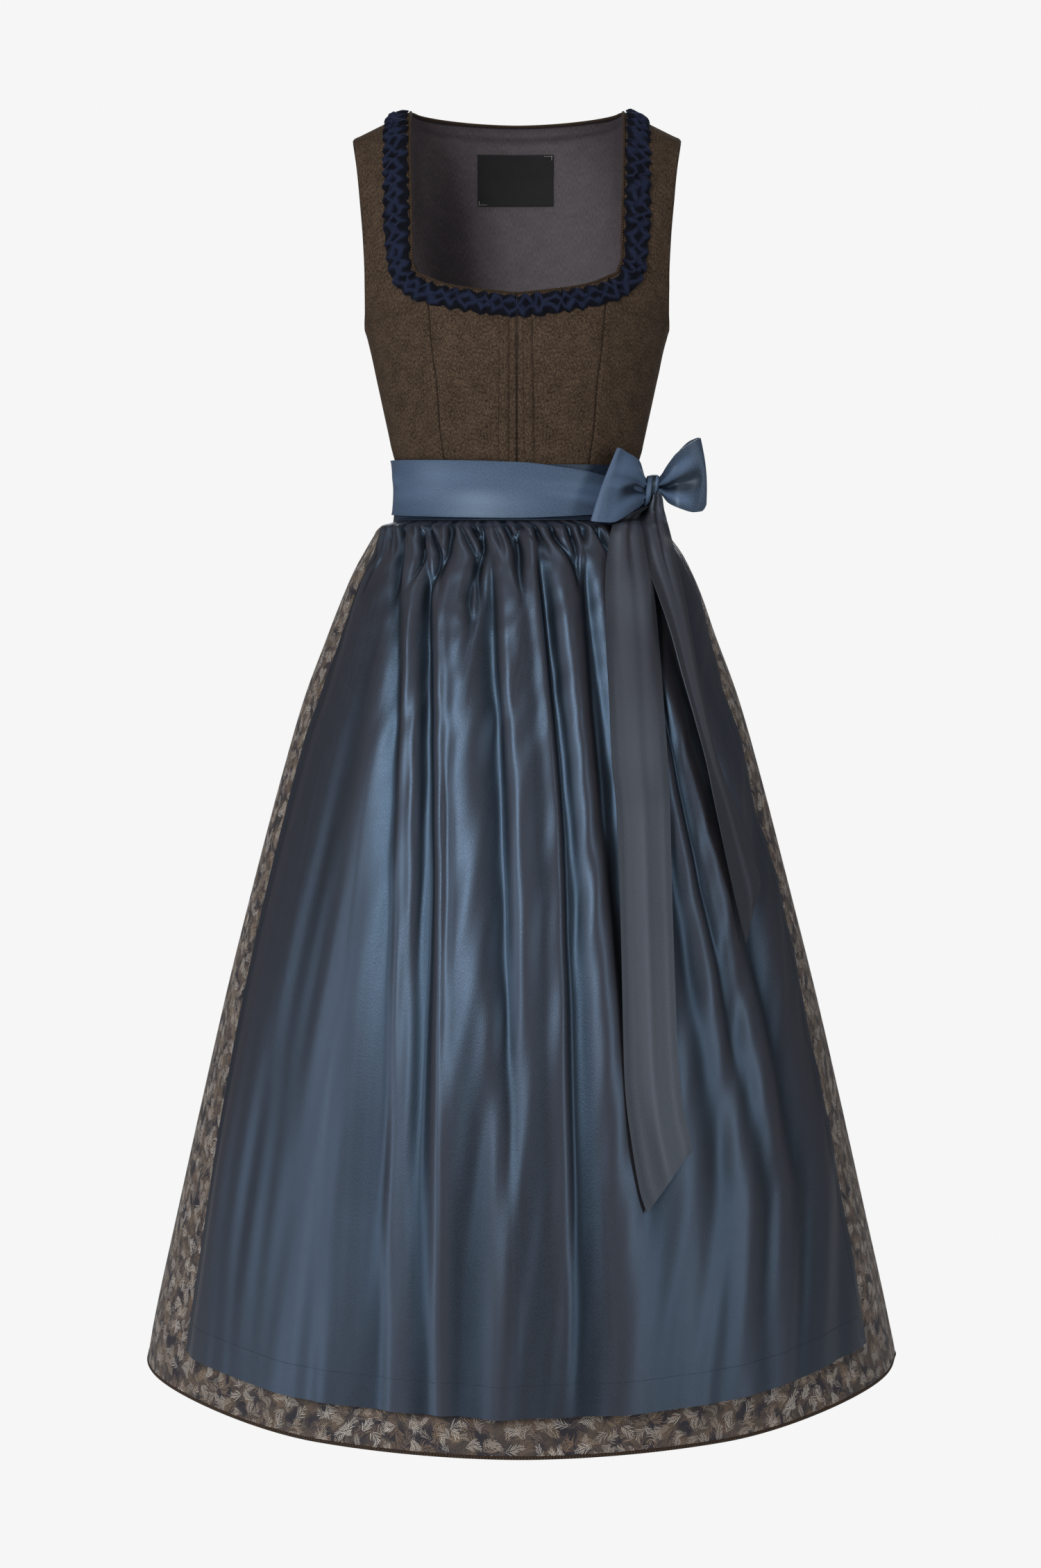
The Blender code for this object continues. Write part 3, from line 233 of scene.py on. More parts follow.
# %% Cloth from a grid
def cloth(name, grid, thickness, material, closed=False, marks=None, mirror_weave=False, lined=False):
    """A wall of cloth whose outer face is the grid, as a plain mesh object."""
    high, across = grid.shape[:2]
    mesh = bpy.data.meshes.new(name)
    mesh.from_pydata(grid.reshape(-1, 3).tolist(), [], quads_of(high, across, closed))
    middle = across // 2
    wrap = lengths(np.concatenate([grid, grid[:, :1]], axis=1), 1)
    wrap = (wrap - wrap[:, middle:middle + 1]) * (-1.0 if mirror_weave else 1.0)
    corner = corners_of(mesh)
    along = wrap[:, :across].reshape(-1)[corner]
    if closed:
        at_seam = np.repeat(np.arange(len(mesh.polygons)) % across == across - 1, 4)
        far = at_seam & np.tile([False, False, True, True], len(mesh.polygons))
        along[far] = wrap[corner[far] // across, -1]
    give_map(mesh, along, lengths(grid, 0).reshape(-1)[corner])
    mark_points(mesh, {mark: np.broadcast_to(value, (high, across)) for mark, value in (marks or {}).items()})
    mesh.materials.append(material)
    mesh.shade_smooth()
    made = thicken(add(bpy.data.objects.new(name, mesh)), thickness)
    if lined:
        mark_points(made.data, {"inside": np.arange(len(made.data.vertices)) >= high * across})
    return made


def sew_on(piece, node):
    """The piece stands for a node of the frame and takes its place."""
    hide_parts(node)
    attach(piece, "root")
    return piece


def cut_of(piece, grid):
    a, b = grid[1:, 1:] - grid[:-1, :-1], grid[1:, :-1] - grid[:-1, 1:]
    laid = float(np.linalg.norm(np.cross(a, b), axis=2).sum() / 2.0)


def dress(node, grid, thickness, material, slot, held, rests_on=(), cut=None, name=None, **looks):
    """Make the cloth of a node from a grid in the node's place, and work out the area of its cut from the
    grid without creases.
    """
    piece = cloth(name or node + "_cloth", grid, thickness, material, **looks)
    cut_of(sew_on(piece, node), grid if cut is None else cut)
    return piece


# %% [markdown]
# ## Nodes, the short way
# A shader is a graph. A small class keeps its script readable: it places a node with its
# inputs, linked or set, and what comes out of a node takes part in sums like a number. An
# effect that more than one cloth needs becomes a group.

# %% Helpers for node graphs
class Flow:
    """What comes out of a node; sums with it place the nodes that they need."""

    def __init__(self, graph, socket):
        self.graph, self.socket = graph, socket

    def __add__(self, other):
        return self.graph.sum("ADD", self, other)

    def __sub__(self, other):
        return self.graph.sum("SUBTRACT", self, other)

    def __rsub__(self, other):
        return self.graph.sum("SUBTRACT", other, self)

    def __mul__(self, other):
        return self.graph.sum("MULTIPLY", self, other)

    def __truediv__(self, other):
        return self.graph.sum("DIVIDE", self, other)

    def __rtruediv__(self, other):
        return self.graph.sum("DIVIDE", other, self)

    def __abs__(self):
        return self.graph.sum("ABSOLUTE", self)

    def __floor__(self):
        return self.graph.sum("FLOOR", self)

    __radd__, __rmul__ = __add__, __mul__


class Graph:
    """A node tree, with short ways to place nodes in it."""

    def __init__(self, tree):
        self.tree = tree

    def put(self, kind, inputs=None, **settings):
        """Place a node; each input is a value or what comes out of another node."""
        made = self.tree.nodes.new(kind)
        for name, value in settings.items():
            setattr(made, name, value)
        for name, value in (inputs or {}).items():
            if isinstance(value, Flow):
                self.tree.links.new(value.socket, made.inputs[name])
            else:
                made.inputs[name].default_value = value
        return made

    def get(self, kind, inputs=None, output=0, **settings):
        """Place a node and take what comes out of it."""
        return Flow(self, self.put(kind, inputs, **settings).outputs[output])

    def sum(self, operation, *values):
        """A number worked out from others."""
        return self.get("ShaderNodeMath", dict(enumerate(values)), operation=operation)

    def arrows(self, operation, a, b):
        """An arrow worked out from two others."""
        second = 3 if operation == "SCALE" else 1
        return self.get("ShaderNodeVectorMath", {0: a, second: b}, operation=operation)

    def apart(self, arrow):
        """The three numbers of an arrow."""
        made = self.put("ShaderNodeSeparateXYZ", {0: arrow})
        return [Flow(self, socket) for socket in made.outputs]

    def noise(self, place, scale, detail=2.0, roughness=0.5, output=0):
        """Uneven values that change smoothly from place to place."""
        settings = {"Vector": place, "Scale": scale, "Detail": detail, "Roughness": roughness}
        return self.get("ShaderNodeTexNoise", settings, output)

    def soft(self, value, low, high, to_low=0.0, to_high=1.0):
        """A value carried from one range to another, with soft ends."""
        settings = {"Value": value, "From Min": low, "From Max": high, "To Min": to_low, "To Max": to_high}
        return self.get("ShaderNodeMapRange", settings, interpolation_type="SMOOTHSTEP")

    def tint(self, share, a, b):
        """A colour between two others."""
        return self.get("ShaderNodeMix", {0: share, 6: a, 7: b}, 2, data_type="RGBA")

    def mark(self, name):
        """The numbers that a piece of cloth keeps for its points under a name."""
        return self.get("ShaderNodeAttribute", None, "Fac", attribute_name=name)

    def cloth_map(self, turn=0.0):
        """The cloth's own map in metres, turned by some degrees."""
        uv = self.get("ShaderNodeUVMap", uv_map="cloth")
        return self.get("ShaderNodeMapping", {"Vector": uv, "Rotation": (0.0, 0.0, math.radians(turn))})

    def bands(self, place, pitch, **uneven):
        """Slanting lines at a pitch in metres."""
        settings = {"Vector": place, "Scale": 0.314 / pitch, **uneven}
        return self.get("ShaderNodeTexWave", settings, 1, bands_direction="X")

    def use(self, group, inputs):
        """Place a group with this material's own values, and take all that comes out of it."""
        made = self.put("ShaderNodeGroup", inputs, node_tree=group.tree)
        return [Flow(self, socket) for socket in made.outputs]

    def finish(self, shader, looks, height, strength, rough=None):
        """Join colour, relief and roughness to the shader."""
        bump = self.get("ShaderNodeBump", {"Height": height, "Strength": strength, "Distance": 0.001})
        for name, value in (("Base Color", looks), ("Normal", bump), ("Roughness", rough)):
            if value is not None:
                self.tree.links.new(value.socket, shader.inputs[name])


def new_group(name, kind, inputs, outputs):
    """An empty node group; inputs are rows of name, kind and value, outputs of name and kind."""
    tree = bpy.data.node_groups.new(name, kind)
    for way, rows in (("INPUT", inputs), ("OUTPUT", outputs)):
        for label, socket_kind, *value in rows:
            socket = tree.interface.new_socket(name=label, in_out=way, socket_type="NodeSocket" + socket_kind)
            if value:
                socket.default_value = value[0]
    group = Graph(tree)
    made = group.put("NodeGroupInput")
    return group, {label: Flow(group, made.outputs[label]) for label, *_ in inputs}


def give_out(group, **results):
    """Join the results of a group to its outputs."""
    group.put("NodeGroupOutput", {name.replace("_", " "): flow for name, flow in results.items()})
    print(group.tree.name + ":", len(group.tree.nodes), "nodes")


def new_material(name, **constants):
    """A material with its Principled BSDF; the constants go on the shader's own sockets."""
    made = bpy.data.materials.new(name)
    made.use_nodes = True
    shader = made.node_tree.nodes["Principled BSDF"]
    for label, value in constants.items():
        shader.inputs[label.replace("_", " ")].default_value = value
    print("material:", name)
    return made, Graph(made.node_tree), shader


def colour(red, green, blue):
    """A colour as it is read off a screen, 0 to 255, in the linear values of a shader."""
    linear = [(c / 255.0) / 12.92 if c <= 10 else ((c / 255.0 + 0.055) / 1.055) ** 2.4
              for c in (red, green, blue)]
    return (*linear, 1.0)


# %% [markdown]
# ## Threads
# All of these cloths are woven. Seen from an arm's length a weave is a fine grain: longer along
# the warp than across it, a little uneven where a thread is thicker. The group gives that grain
# as a height and as a shade, and each cloth asks for its own thread width.

# %% Group: thread grain
grain_group, ask = new_group(
    "thread grain", "ShaderNodeTree",
    (("Vector", "Vector"), ("Thread", "Float", 0.0008), ("Length", "Float", 6.0),
     ("Unevenness", "Float", 0.5)),
    (("Height", "Float"), ("Shade", "Float")))
across = 1.0 / ask["Thread"]
stretch = grain_group.get("ShaderNodeCombineXYZ", {0: across, 1: across / ask["Length"], 2: 1.0})
fine = grain_group.noise(grain_group.arrows("MULTIPLY", ask["Vector"], stretch), 1.0, 2.0, 0.6)
cloudy = grain_group.noise(ask["Vector"], 60.0, 3.0)
give_out(grain_group, Height=fine, Shade=fine + (cloudy - 0.5) * ask["Unevenness"])


def grain_of(graph, thread, length, uneven):
    """Height and shade of the threads, by their width and their length in widths."""
    inputs = {"Vector": graph.cloth_map(), "Thread": thread, "Length": length, "Unevenness": uneven}
    return graph.use(grain_group, inputs)


# %% [markdown]
# ## Wool twill for the bodice
# Brown wool, woven in a fine twill: diagonal lines a millimetre apart, dark and light fibres
# mixed in each. On the left half of the body the lines lean the other way, because the cutter
# turned the cloth over, so the map of those panels is mirrored and one material serves both.
# The mark "seam" paints shade into the pressed seams, darker than the cloth beside them,
# and the mark "inside" shows the lining on the inner face.

# %% Material: wool twill
brown_twill, g, shader = new_material("brown wool twill", Roughness=0.92, Specular_IOR_Level=0.15)
wave = g.bands(g.cloth_map(52.0), 0.0013, **{"Distortion": 1.2, "Detail": 2.0, "Detail Scale": 2.0})
height, shade = grain_of(g, 0.0016, 1.6, 0.35)
fleck = g.noise(g.cloth_map(), 420.0, 4.0, 0.75)
mixed = g.soft((shade + fleck) * 0.55 + wave * 0.08, 0.38, 0.88)
mixed = g.tint(mixed, colour(35, 28, 22), colour(110, 90, 73))
# Painted shade: the seam mark darkens the twill to near-black along each pressed seam.
wool = g.tint(g.mark("seam") * 0.75, mixed, colour(16, 12, 10))
inner = g.tint(g.soft(shade, 0.25, 0.8), colour(56, 51, 54), colour(80, 73, 76))
g.finish(shader, g.tint(g.mark("inside"), wool, inner), wave * 0.5 + height, 0.55)

# %% [markdown]
# ## Satin
# Satin's long floating threads make it shine, more across the threads than along them. The
# apron is a shot satin: its warp is charcoal brown and its weft steel blue, so the ridges that
# turn to the light look blue and the hollows brown. A charcoal base under a strong blue
# specular tint does that. The height of a fold, kept with the cloth as the mark "ridge", paints
# light and shade into the base: the crests are painted lighter and bluer, and the hollows get
# painted shade, much darker.

# %% Materials: satin
def satin(name, hollow, crest, shine, roughness, level, ior):
    """A satin, from its colour of painted shade in the hollows, its colour of painted light on the crests and
    the tint of its shine.
    """
    made, g, shader = new_material(name, Roughness=roughness, IOR=ior, Specular_IOR_Level=level,
                                   Anisotropic=0.35, Specular_Tint=(*shine, 1.0))
    patches = g.noise(g.cloth_map(), 700.0)
    height, shade = grain_of(g, 0.0009, 2.5, 0.2)
    # Painted light and shade: the mark "ridge" moves the colour from the hollows' dark tone to the crests'
    # light one, with random patches and grain on top.
    share = g.mark("ridge") + (patches - 0.5) * 0.5 + (shade - 0.5) * 0.35
    rough = g.soft(shade, 0.2, 0.8, roughness - 0.04, roughness + 0.06)
    tangent = g.get("ShaderNodeTangent", direction_type="UV_MAP", uv_map="cloth")
    g.tree.links.new(tangent.socket, shader.inputs["Tangent"])
    g.finish(shader, g.tint(g.soft(share, 0.1, 0.9), colour(*hollow), colour(*crest)), height, 0.13, rough)
    return made


# The sash and the hanging ends are one ribbon. The steel blue satin is that ribbon with painted light,
# lighter and bluer where it runs across and catches the light from above; the charcoal satin is it with
# painted shade, darker and greyer where it hangs down.
shot_satin = satin("shot satin", (17, 15, 15), (56, 53, 57), (0.42, 0.67, 1.0), 0.38, 0.82, 1.55)
blue_satin = satin("steel blue satin", (26, 34, 47), (88, 108, 136), (0.66, 0.84, 1.0), 0.44, 0.7, 1.5)
dark_satin = satin("charcoal satin", (40, 40, 43), (74, 76, 84), (0.66, 0.80, 1.0), 0.42, 0.7, 1.5)

# %% [markdown]
# ## Velvet, lining, label, braid and small things
# Velvet is dark where one looks into its pile and light at grazing angles, which is what the
# sheen of the shader is for. The lining is a dull satin, the label a black woven tape, and the
# piping and the hem tape are brown cords with a slanting twist.

# %% Material: velvet
navy_velvet, g, shader = new_material("navy velvet", Roughness=0.95, Sheen_Weight=0.40, Sheen_Roughness=0.34,
                                      Sheen_Tint=colour(120, 132, 170), Specular_IOR_Level=0.15)
tufts = g.noise(g.get("ShaderNodeTexCoord", None, "Object"), 700.0, 3.0)
# Painted light and shade: the mark "ridge" colours the rims of the ruche lighter and the mouths between them
# darker, mixed with random tufts.
share = g.soft(g.mark("ridge") + (tufts - 0.5) * 0.6, 0.15, 1.0)
g.finish(shader, g.tint(share, colour(11, 13, 22), colour(32, 38, 60)), tufts, 0.35)


# %% Materials: lining, label, braid, hook and thread
def dull_cloth(name, dark, light, roughness, thread, length):
    """A plain woven cloth between two tones."""
    made, g, shader = new_material(name, Roughness=roughness, Specular_IOR_Level=0.3)
    height, shade = grain_of(g, thread, length, 0.3)
    g.finish(shader, g.tint(g.soft(shade, 0.25, 0.8), colour(*dark), colour(*light)), height, 0.25)
    return made


def twisted_braid(name, dark, light, pitch, turn):
    """A braid with a slanting twist."""
    made, g, shader = new_material(name, Roughness=0.8, Specular_IOR_Level=0.3)
    wave = g.bands(g.cloth_map(turn), pitch, Distortion=0.6, Detail=1.0)
    shade = grain_of(g, 0.0006, 3.0, 0.4)[1]
    share = g.soft(wave, 0.2, 0.9) * g.soft(shade, 0.0, 0.7)
    g.finish(shader, g.tint(share, colour(*dark), colour(*light)), wave, 0.7)
    return made


def thread(name, tone, roughness):
    """Sewing thread in one colour."""
    return new_material(name, Roughness=roughness, Base_Color=colour(*tone))[0]


grey_lining = dull_cloth("grey lining", (66, 59, 63), (92, 83, 87), 0.55, 0.0009, 5.0)
black_tape = dull_cloth("black label tape", (13, 13, 14), (24, 24, 26), 0.7, 0.0007, 1.5)
brown_braid = twisted_braid("brown braid", (38, 29, 22), (96, 74, 54), 0.0022, 35.0)
hem_twill = twisted_braid("brown hem tape", (30, 23, 18), (92, 70, 52), 0.0026, 28.0)
hook_steel, g, shader = new_material("hook steel", Metallic=1.0, Roughness=0.25)
brushed = g.noise(g.get("ShaderNodeTexCoord", None, "Object"), 900.0)
g.finish(shader, g.tint(brushed, colour(90, 88, 86), colour(150, 148, 146)), brushed, 0.1)
thread_blue = thread("blue thread", (26, 32, 44), 0.7)
thread_brown = thread("brown thread", (38, 30, 23), 0.8)
thread_pale = thread("pale thread", (190, 188, 182), 0.5)

# %% [markdown]
# ## Brocade
# The skirt is a brocade. Its pattern here is a loose one of curved fronds: in every cell of a
# Voronoi texture one frond is turned its own way, and fine strokes run off its bent vein on
# both sides. One group draws one layer of fronds, and the cloth lays several over each other in
# beige, brown and grey on a dark ground.

# %% Group: a layer of fronds
FULL_TURN = 2.0 * math.pi
fronds, ask = new_group(
    "layer of fronds", "ShaderNodeTree",
    (("Vector", "Vector"), ("Cell", "Float", 0.024), ("Stroke", "Float", 0.0024), ("Width", "Float", 0.40),
     ("Shift", "Vector", (0.0, 0.0, 0.0))),
    (("Strokes", "Float"), ("Tuft", "Float")))
wobble = fronds.noise(ask["Vector"], 55.0, output="Color")
wobble = fronds.arrows("MULTIPLY", wobble, (0.0075, 0.0075, 0.0))
place = fronds.arrows("ADD", fronds.arrows("ADD", ask["Vector"], ask["Shift"]), wobble)
cells = {"Vector": place, "Scale": 1.0 / ask["Cell"]}
cells = fronds.put("ShaderNodeTexVoronoi", cells, voronoi_dimensions="2D")
middle, chance = (Flow(fronds, cells.outputs[name]) for name in ("Position", "Color"))
turn_chance, bend_chance, tuft_chance = fronds.apart(chance)
local = {"Vector": fronds.arrows("SUBTRACT", place, middle), "Angle": turn_chance * FULL_TURN}
u, v, _ = fronds.apart(fronds.get("ShaderNodeVectorRotate", local, rotation_type="Z_AXIS"))
u, v = u / ask["Cell"], v / ask["Cell"]
v = abs(v + (bend_chance - 0.5) * 3.4 * (u * u))
phase = (v * 1.3 - u * 0.9) * ask["Cell"] / ask["Stroke"]
stroke = fronds.sum("SINE", phase * FULL_TURN)
own = fronds.get("ShaderNodeTexWhiteNoise", {"Vector": chance, "W": math.floor(phase)}, noise_dimensions="4D")
leaf = ask["Width"] * (own * 1.05 + 0.35) * (1.25 - u * u * 4.0) - v
thin = fronds.soft(leaf, 0.0, 0.16, 0.75, -0.15)
strokes = fronds.soft(stroke - thin, -0.45, 0.60) * fronds.soft(leaf, 0.0, 0.04)
give_out(fronds, Strokes=strokes * fronds.soft(v, 0.010, 0.030), Tuft=tuft_chance)

# %% Material: frond brocade
FROND_LAYERS = (
    # cell, stroke, width, shift, dark colour, light colour
    (0.017, 0.0019, 0.36, (0.131, 0.047, 0.0), (96, 84, 78), (132, 108, 88)),
    (0.020, 0.0021, 0.26, (0.613, 0.271, 0.0), (118, 94, 72), (168, 148, 126)),
    (0.015, 0.0019, 0.26, (0.957, 0.733, 0.0), (40, 35, 44), (74, 66, 68)),
    (0.018, 0.0020, 0.22, (0.377, 0.519, 0.0), (166, 154, 142), (214, 206, 196)),
    (0.020, 0.0021, 0.19, (0.219, 0.871, 0.0), (140, 124, 108), (206, 196, 186)),
)
frond_brocade, g, shader = new_material(
    "frond brocade", Roughness=0.62, Specular_IOR_Level=0.4, Sheen_Weight=0.05)
uv = g.cloth_map()
looks = g.tint(g.soft(g.noise(uv, 38.0, 3.0), 0.42, 0.60), colour(36, 32, 42), colour(84, 72, 62))
relief = 0.0
for cell, stroke, width, shift, dark, light in FROND_LAYERS:
    inputs = {"Vector": uv, "Cell": cell, "Stroke": stroke, "Width": width, "Shift": shift}
    strokes, tuft = g.use(fronds, inputs)
    looks = g.tint(strokes, looks, g.tint(tuft, colour(*dark), colour(*light)))
    relief = g.sum("MAXIMUM", relief, strokes)
height, shade = grain_of(g, 0.0007, 1.5, 0.3)
looks = g.tint(shade * 0.22, looks, colour(34, 31, 34))
g.finish(shader, looks, relief + height * 0.4, 0.4)

# %% [markdown]
# ## The body of the bodice
# The bodice is cut close, so its shape is the body's: a rounded section at every height, fuller
# over the bust, running up to the shoulder line. The tables are the sections of the frame.

# %% Bodice sections and edges
UNDERARM = -0.2175
WAIST = -0.3768
SHOULDER_Y = 0.009
NECK_X = 0.107
TIP_X = 0.164
SHOULDER_DROP = 0.028
BACK_NECK_Y = 0.085
BODICE_ROUNDNESS = 2.2
SIDE_ANGLE = math.radians(90.0)
# middle, height, reach across, reach up and depth of the fullness over the bust
BUST = (0.074, -0.243, 0.045, 0.050, 0.006)
# height, half width, depth to the front, depth to the back
BODICE = (
    (-0.3768, 0.1185, 0.0855, 0.079), (-0.3500, 0.1213, 0.0900, 0.081), (-0.3360, 0.1248, 0.0945, 0.084),
    (-0.3010, 0.1325, 0.1040, 0.089), (-0.2670, 0.1398, 0.1130, 0.094), (-0.2320, 0.1474, 0.1165, 0.098),
    (-0.2175, 0.1516, 0.1165, 0.100), (-0.2050, 0.1585, 0.1160, 0.101), (-0.1900, 0.1640, 0.1150, 0.102),
    (-0.1600, 0.1690, 0.1140, 0.103), (-0.1000, 0.1760, 0.1130, 0.104), (0.0100, 0.1850, 0.1120, 0.104),
)
# height and distance from the middle: neck edge and princess seam, armhole, back seam
INNER_EDGE = (
    (-0.3768, 0.0690), (-0.3479, 0.0713), (-0.3214, 0.0748), (-0.2730, 0.0782), (-0.2376, 0.0828),
    (-0.2055, 0.0853), (-0.1900, 0.0868), (-0.1723, 0.0903), (-0.1674, 0.0984), (-0.1543, 0.1026),
    (-0.1310, 0.1030), (-0.0500, 0.1055), (0.0000, 0.1070),
)
ARMHOLE = (
    (-0.2175, 0.1516), (-0.2030, 0.1503), (-0.1680, 0.1502), (-0.1330, 0.1516), (-0.0980, 0.1545),
    (-0.0630, 0.1582), (-0.0280, 0.1640),
)
BACK_SEAM = (
    (-0.3768, 0.0580), (-0.3400, 0.0660), (-0.3000, 0.0780), (-0.2600, 0.0905), (-0.2175, 0.1060),
    (-0.1900, 0.1180), (-0.1600, 0.1340), (-0.1300, 0.1519),
)
# distance from the middle and height of the lower neck edge
NECK_BOTTOM = ((0.0000, -0.1905), (0.0300, -0.1875), (0.0600, -0.1832), (0.0815, -0.1767), (0.0903, -0.1723))
# rows of the side front: height at its inner and at its outer edge
SIDE_ROWS = (
    (-0.0060, -0.0340), (-0.0180, -0.0450), (-0.0400, -0.0640), (-0.0700, -0.0900), (-0.1000, -0.1180),
    (-0.1300, -0.1450), (-0.1543, -0.1680), (-0.1674, -0.1880), (-0.1723, -0.2020), (-0.1880, -0.2120),
    (-0.2055, -0.2175), (-0.2376, -0.2450), (-0.2730, -0.2770), (-0.3050, -0.3070), (-0.3300, -0.3310),
    (-0.3520, -0.3520), (-0.3768, -0.3768),
)
BACK_SEAM_ROWS = (-0.130, -0.158, -0.190, -0.2175, -0.248, -0.280, -0.306, -0.330, -0.352, -0.3768)
BACK_UPPER_ROWS = (-0.034, -0.046, -0.068, -0.098)
BACK_SEAM_TOP = BACK_SEAM_ROWS[0]

body_width, body_front, body_back = smooth_curves(BODICE)
inner_edge, armhole, back_seam, neck_bottom = (
    smooth_curve(edge, 1) for edge in (INNER_EDGE, ARMHOLE, BACK_SEAM, NECK_BOTTOM))


def shoulder_height(x):
    """Height of the shoulder line, and of the back neck edge inside it."""
    dip = -0.004 * (1.0 - np.clip(x / NECK_X, 0.0, 1.0) ** 1.5)
    return np.where(x >= NECK_X, -SHOULDER_DROP * (x - NECK_X) / (TIP_X - NECK_X), dip)


def back_top_y(x):
    """How far back the upper edge of the back lies."""
    return SHOULDER_Y + (BACK_NECK_Y - SHOULDER_Y) * np.sqrt(np.clip(1.0 - (x / NECK_X) ** 2, 0.0, 1.0))


def section_angle(x, height):
    """Angle on a section, 0 in the middle and 90 degrees at the side."""
    return np.arcsin(np.clip(np.abs(x) / body_width(height), 0.0, 1.0) ** (BODICE_ROUNDNESS / 2.0))


def body_point(angle, height, back=False):
    """Points of the body on the +X side, from angles on its sections and heights."""
    power = 2.0 / BODICE_ROUNDNESS
    x = body_width(height) * np.sin(angle) ** power
    level = np.clip(np.cos(angle), 0.0, 1.0)
    if back:
        y = body_back(height) * level ** power
        top, top_height = back_top_y(x), shoulder_height(x)
    else:
        bust_x, bust_height, across, up, depth = BUST
        fullness = depth * hill(x - bust_x, across) * hill(height - bust_height, up)
        y = -body_front(height) * level ** power - fullness * level
        top, top_height = SHOULDER_Y, np.where(x >= NECK_X, shoulder_height(x), 0.0)
    drop = np.clip((top_height - height) / (top_height - UNDERARM), 0.0, 1.0)
    above = top + (y - top) * np.sin(math.pi / 2.0 * np.sqrt(drop))
    return np.stack([x, np.where(height > UNDERARM, above, y), height + 0.0 * x], -1)


def front_point(x, height):
    """Points on the front of the bodice, seen at x and a height, on either side."""
    point = body_point(section_angle(x, height), height)
    point[..., 0] = np.copysign(point[..., 0], x)
    return point


def finer(values, steps=6):
    """The numbers of a list with evenly spaced ones between them."""
    at = np.linspace(0, len(values) - 1, (len(values) - 1) * steps + 1)
    return np.interp(at, np.arange(len(values)), values)


print("bodice:", len(BODICE), "sections")

# %% [markdown]
# ## Panels of the bodice
# Rows of stitching hold the bodice together: two princess seams in front, two behind, one
# at each side. A pressed seam is a shallow groove with the cloth slightly fuller beside it, so
# every panel dips by about a millimetre within a few millimetres of its seams. Where the dress
# is drawn in, at the waist and below the arm, the twill throws a few flat, uneven creases. They
# are listed: distance from the middle, height, tilt, length, width and depth.

# %% Bodice panels
SEAM_DIP = 0.0009
SEAM_REACH = 0.0013
# distance from the middle, height, tilt in degrees, half length, half width, height of the crease
BODICE_CREASES = (
    (0.118, -0.232, 24.0, 0.026, 0.0050, 0.0010), (0.106, -0.256, 12.0, 0.030, 0.0060, 0.0007),
    (0.096, -0.343, -8.0, 0.022, 0.0045, 0.0009), (0.104, -0.329, -14.0, 0.026, 0.0060, 0.0006),
    (0.040, -0.340, 5.0, 0.024, 0.0055, 0.0006), (0.126, -0.196, 48.0, 0.022, 0.0045, 0.0008),
    (0.137, -0.120, 70.0, 0.030, 0.0050, 0.0006), (0.030, -0.236, 3.0, 0.030, 0.0080, 0.0005),
    (0.086, -0.300, 62.0, 0.024, 0.0060, 0.0005), (0.060, -0.318, -20.0, 0.020, 0.0050, 0.0005),
)


def crease_field(grid, flip):
    """Height of the bodice's soft creases over a grid, as they are or on the other side."""
    height = np.zeros(grid.shape[:2])
    for x, z, tilt, half_length, half_width, rise in BODICE_CREASES:
        angle = math.radians(tilt) * flip
        dx, dz = grid[..., 0] - x * flip, grid[..., 2] - z
        along = dx * math.cos(angle) + dz * math.sin(angle)
        aside = dz * math.cos(angle) - dx * math.sin(angle) + 6.0 * along * along * flip
        height += rise * hill(along, half_length) * hill(aside, half_width)
    return height


def seam_dip(grid):
    """A pressed groove along both sides of a panel, and the mark along its middle where shade is painted."""
    dip, mark = np.zeros(grid.shape[:2]), np.zeros(grid.shape[:2])
    along = lengths(grid, 1)
    for gap in (along, along[:, -1:] - along):
        dip -= SEAM_DIP * hill(gap, SEAM_REACH)
        dip += 0.0003 * hill(gap - 3.4 * SEAM_REACH, 1.8 * SEAM_REACH)
        mark = np.maximum(mark, hill(gap, 0.0008))
    return dip, mark


def toward_edges(count, crowd=0.85):
    """Places from 0 to 1 that crowd together at both ends."""
    even = np.linspace(0.0, 1.0, count + 1)
    return even - crowd * np.sin(2.0 * math.pi * even) / (2.0 * math.pi)


def side_front_grid():
    """The side front, in rows from the neck edge and princess seam out to the armhole and side."""
    shares = toward_edges(40)
    x = blend(NECK_X, TIP_X, shares)
    top = shoulder_height(x)
    rows = [np.stack([x, SHOULDER_Y - offset + 0 * x, top - offset * 0.02], -1)
            for offset in (0.0, 0.0015, 0.003, 0.004)]
    for inner, outer in zip(*(finer(heights) for heights in zip(*SIDE_ROWS))):
        start = section_angle(inner_edge(inner), inner)
        end = section_angle(armhole(outer), outer) if outer > UNDERARM else SIDE_ANGLE
        rows.append(body_point(blend(start, end, shares), blend(inner, outer, shares)))
    return np.array(rows)


def centre_front_grid():
    """Half of the centre front, in rows from the closure out to the princess seam."""
    neck_x, neck_foot = NECK_BOTTOM[-1]
    shares = toward_edges(40)
    rows = []
    for seam_height in finer([inner for inner, _ in SIDE_ROWS if inner <= neck_foot]):
        share = (seam_height - neck_foot) / (WAIST - neck_foot)
        x = np.maximum(0.0002, inner_edge(seam_height) * shares)
        rows.append(front_point(x, blend(neck_bottom(neck_x * shares), WAIST, share)))
    return np.array(rows)


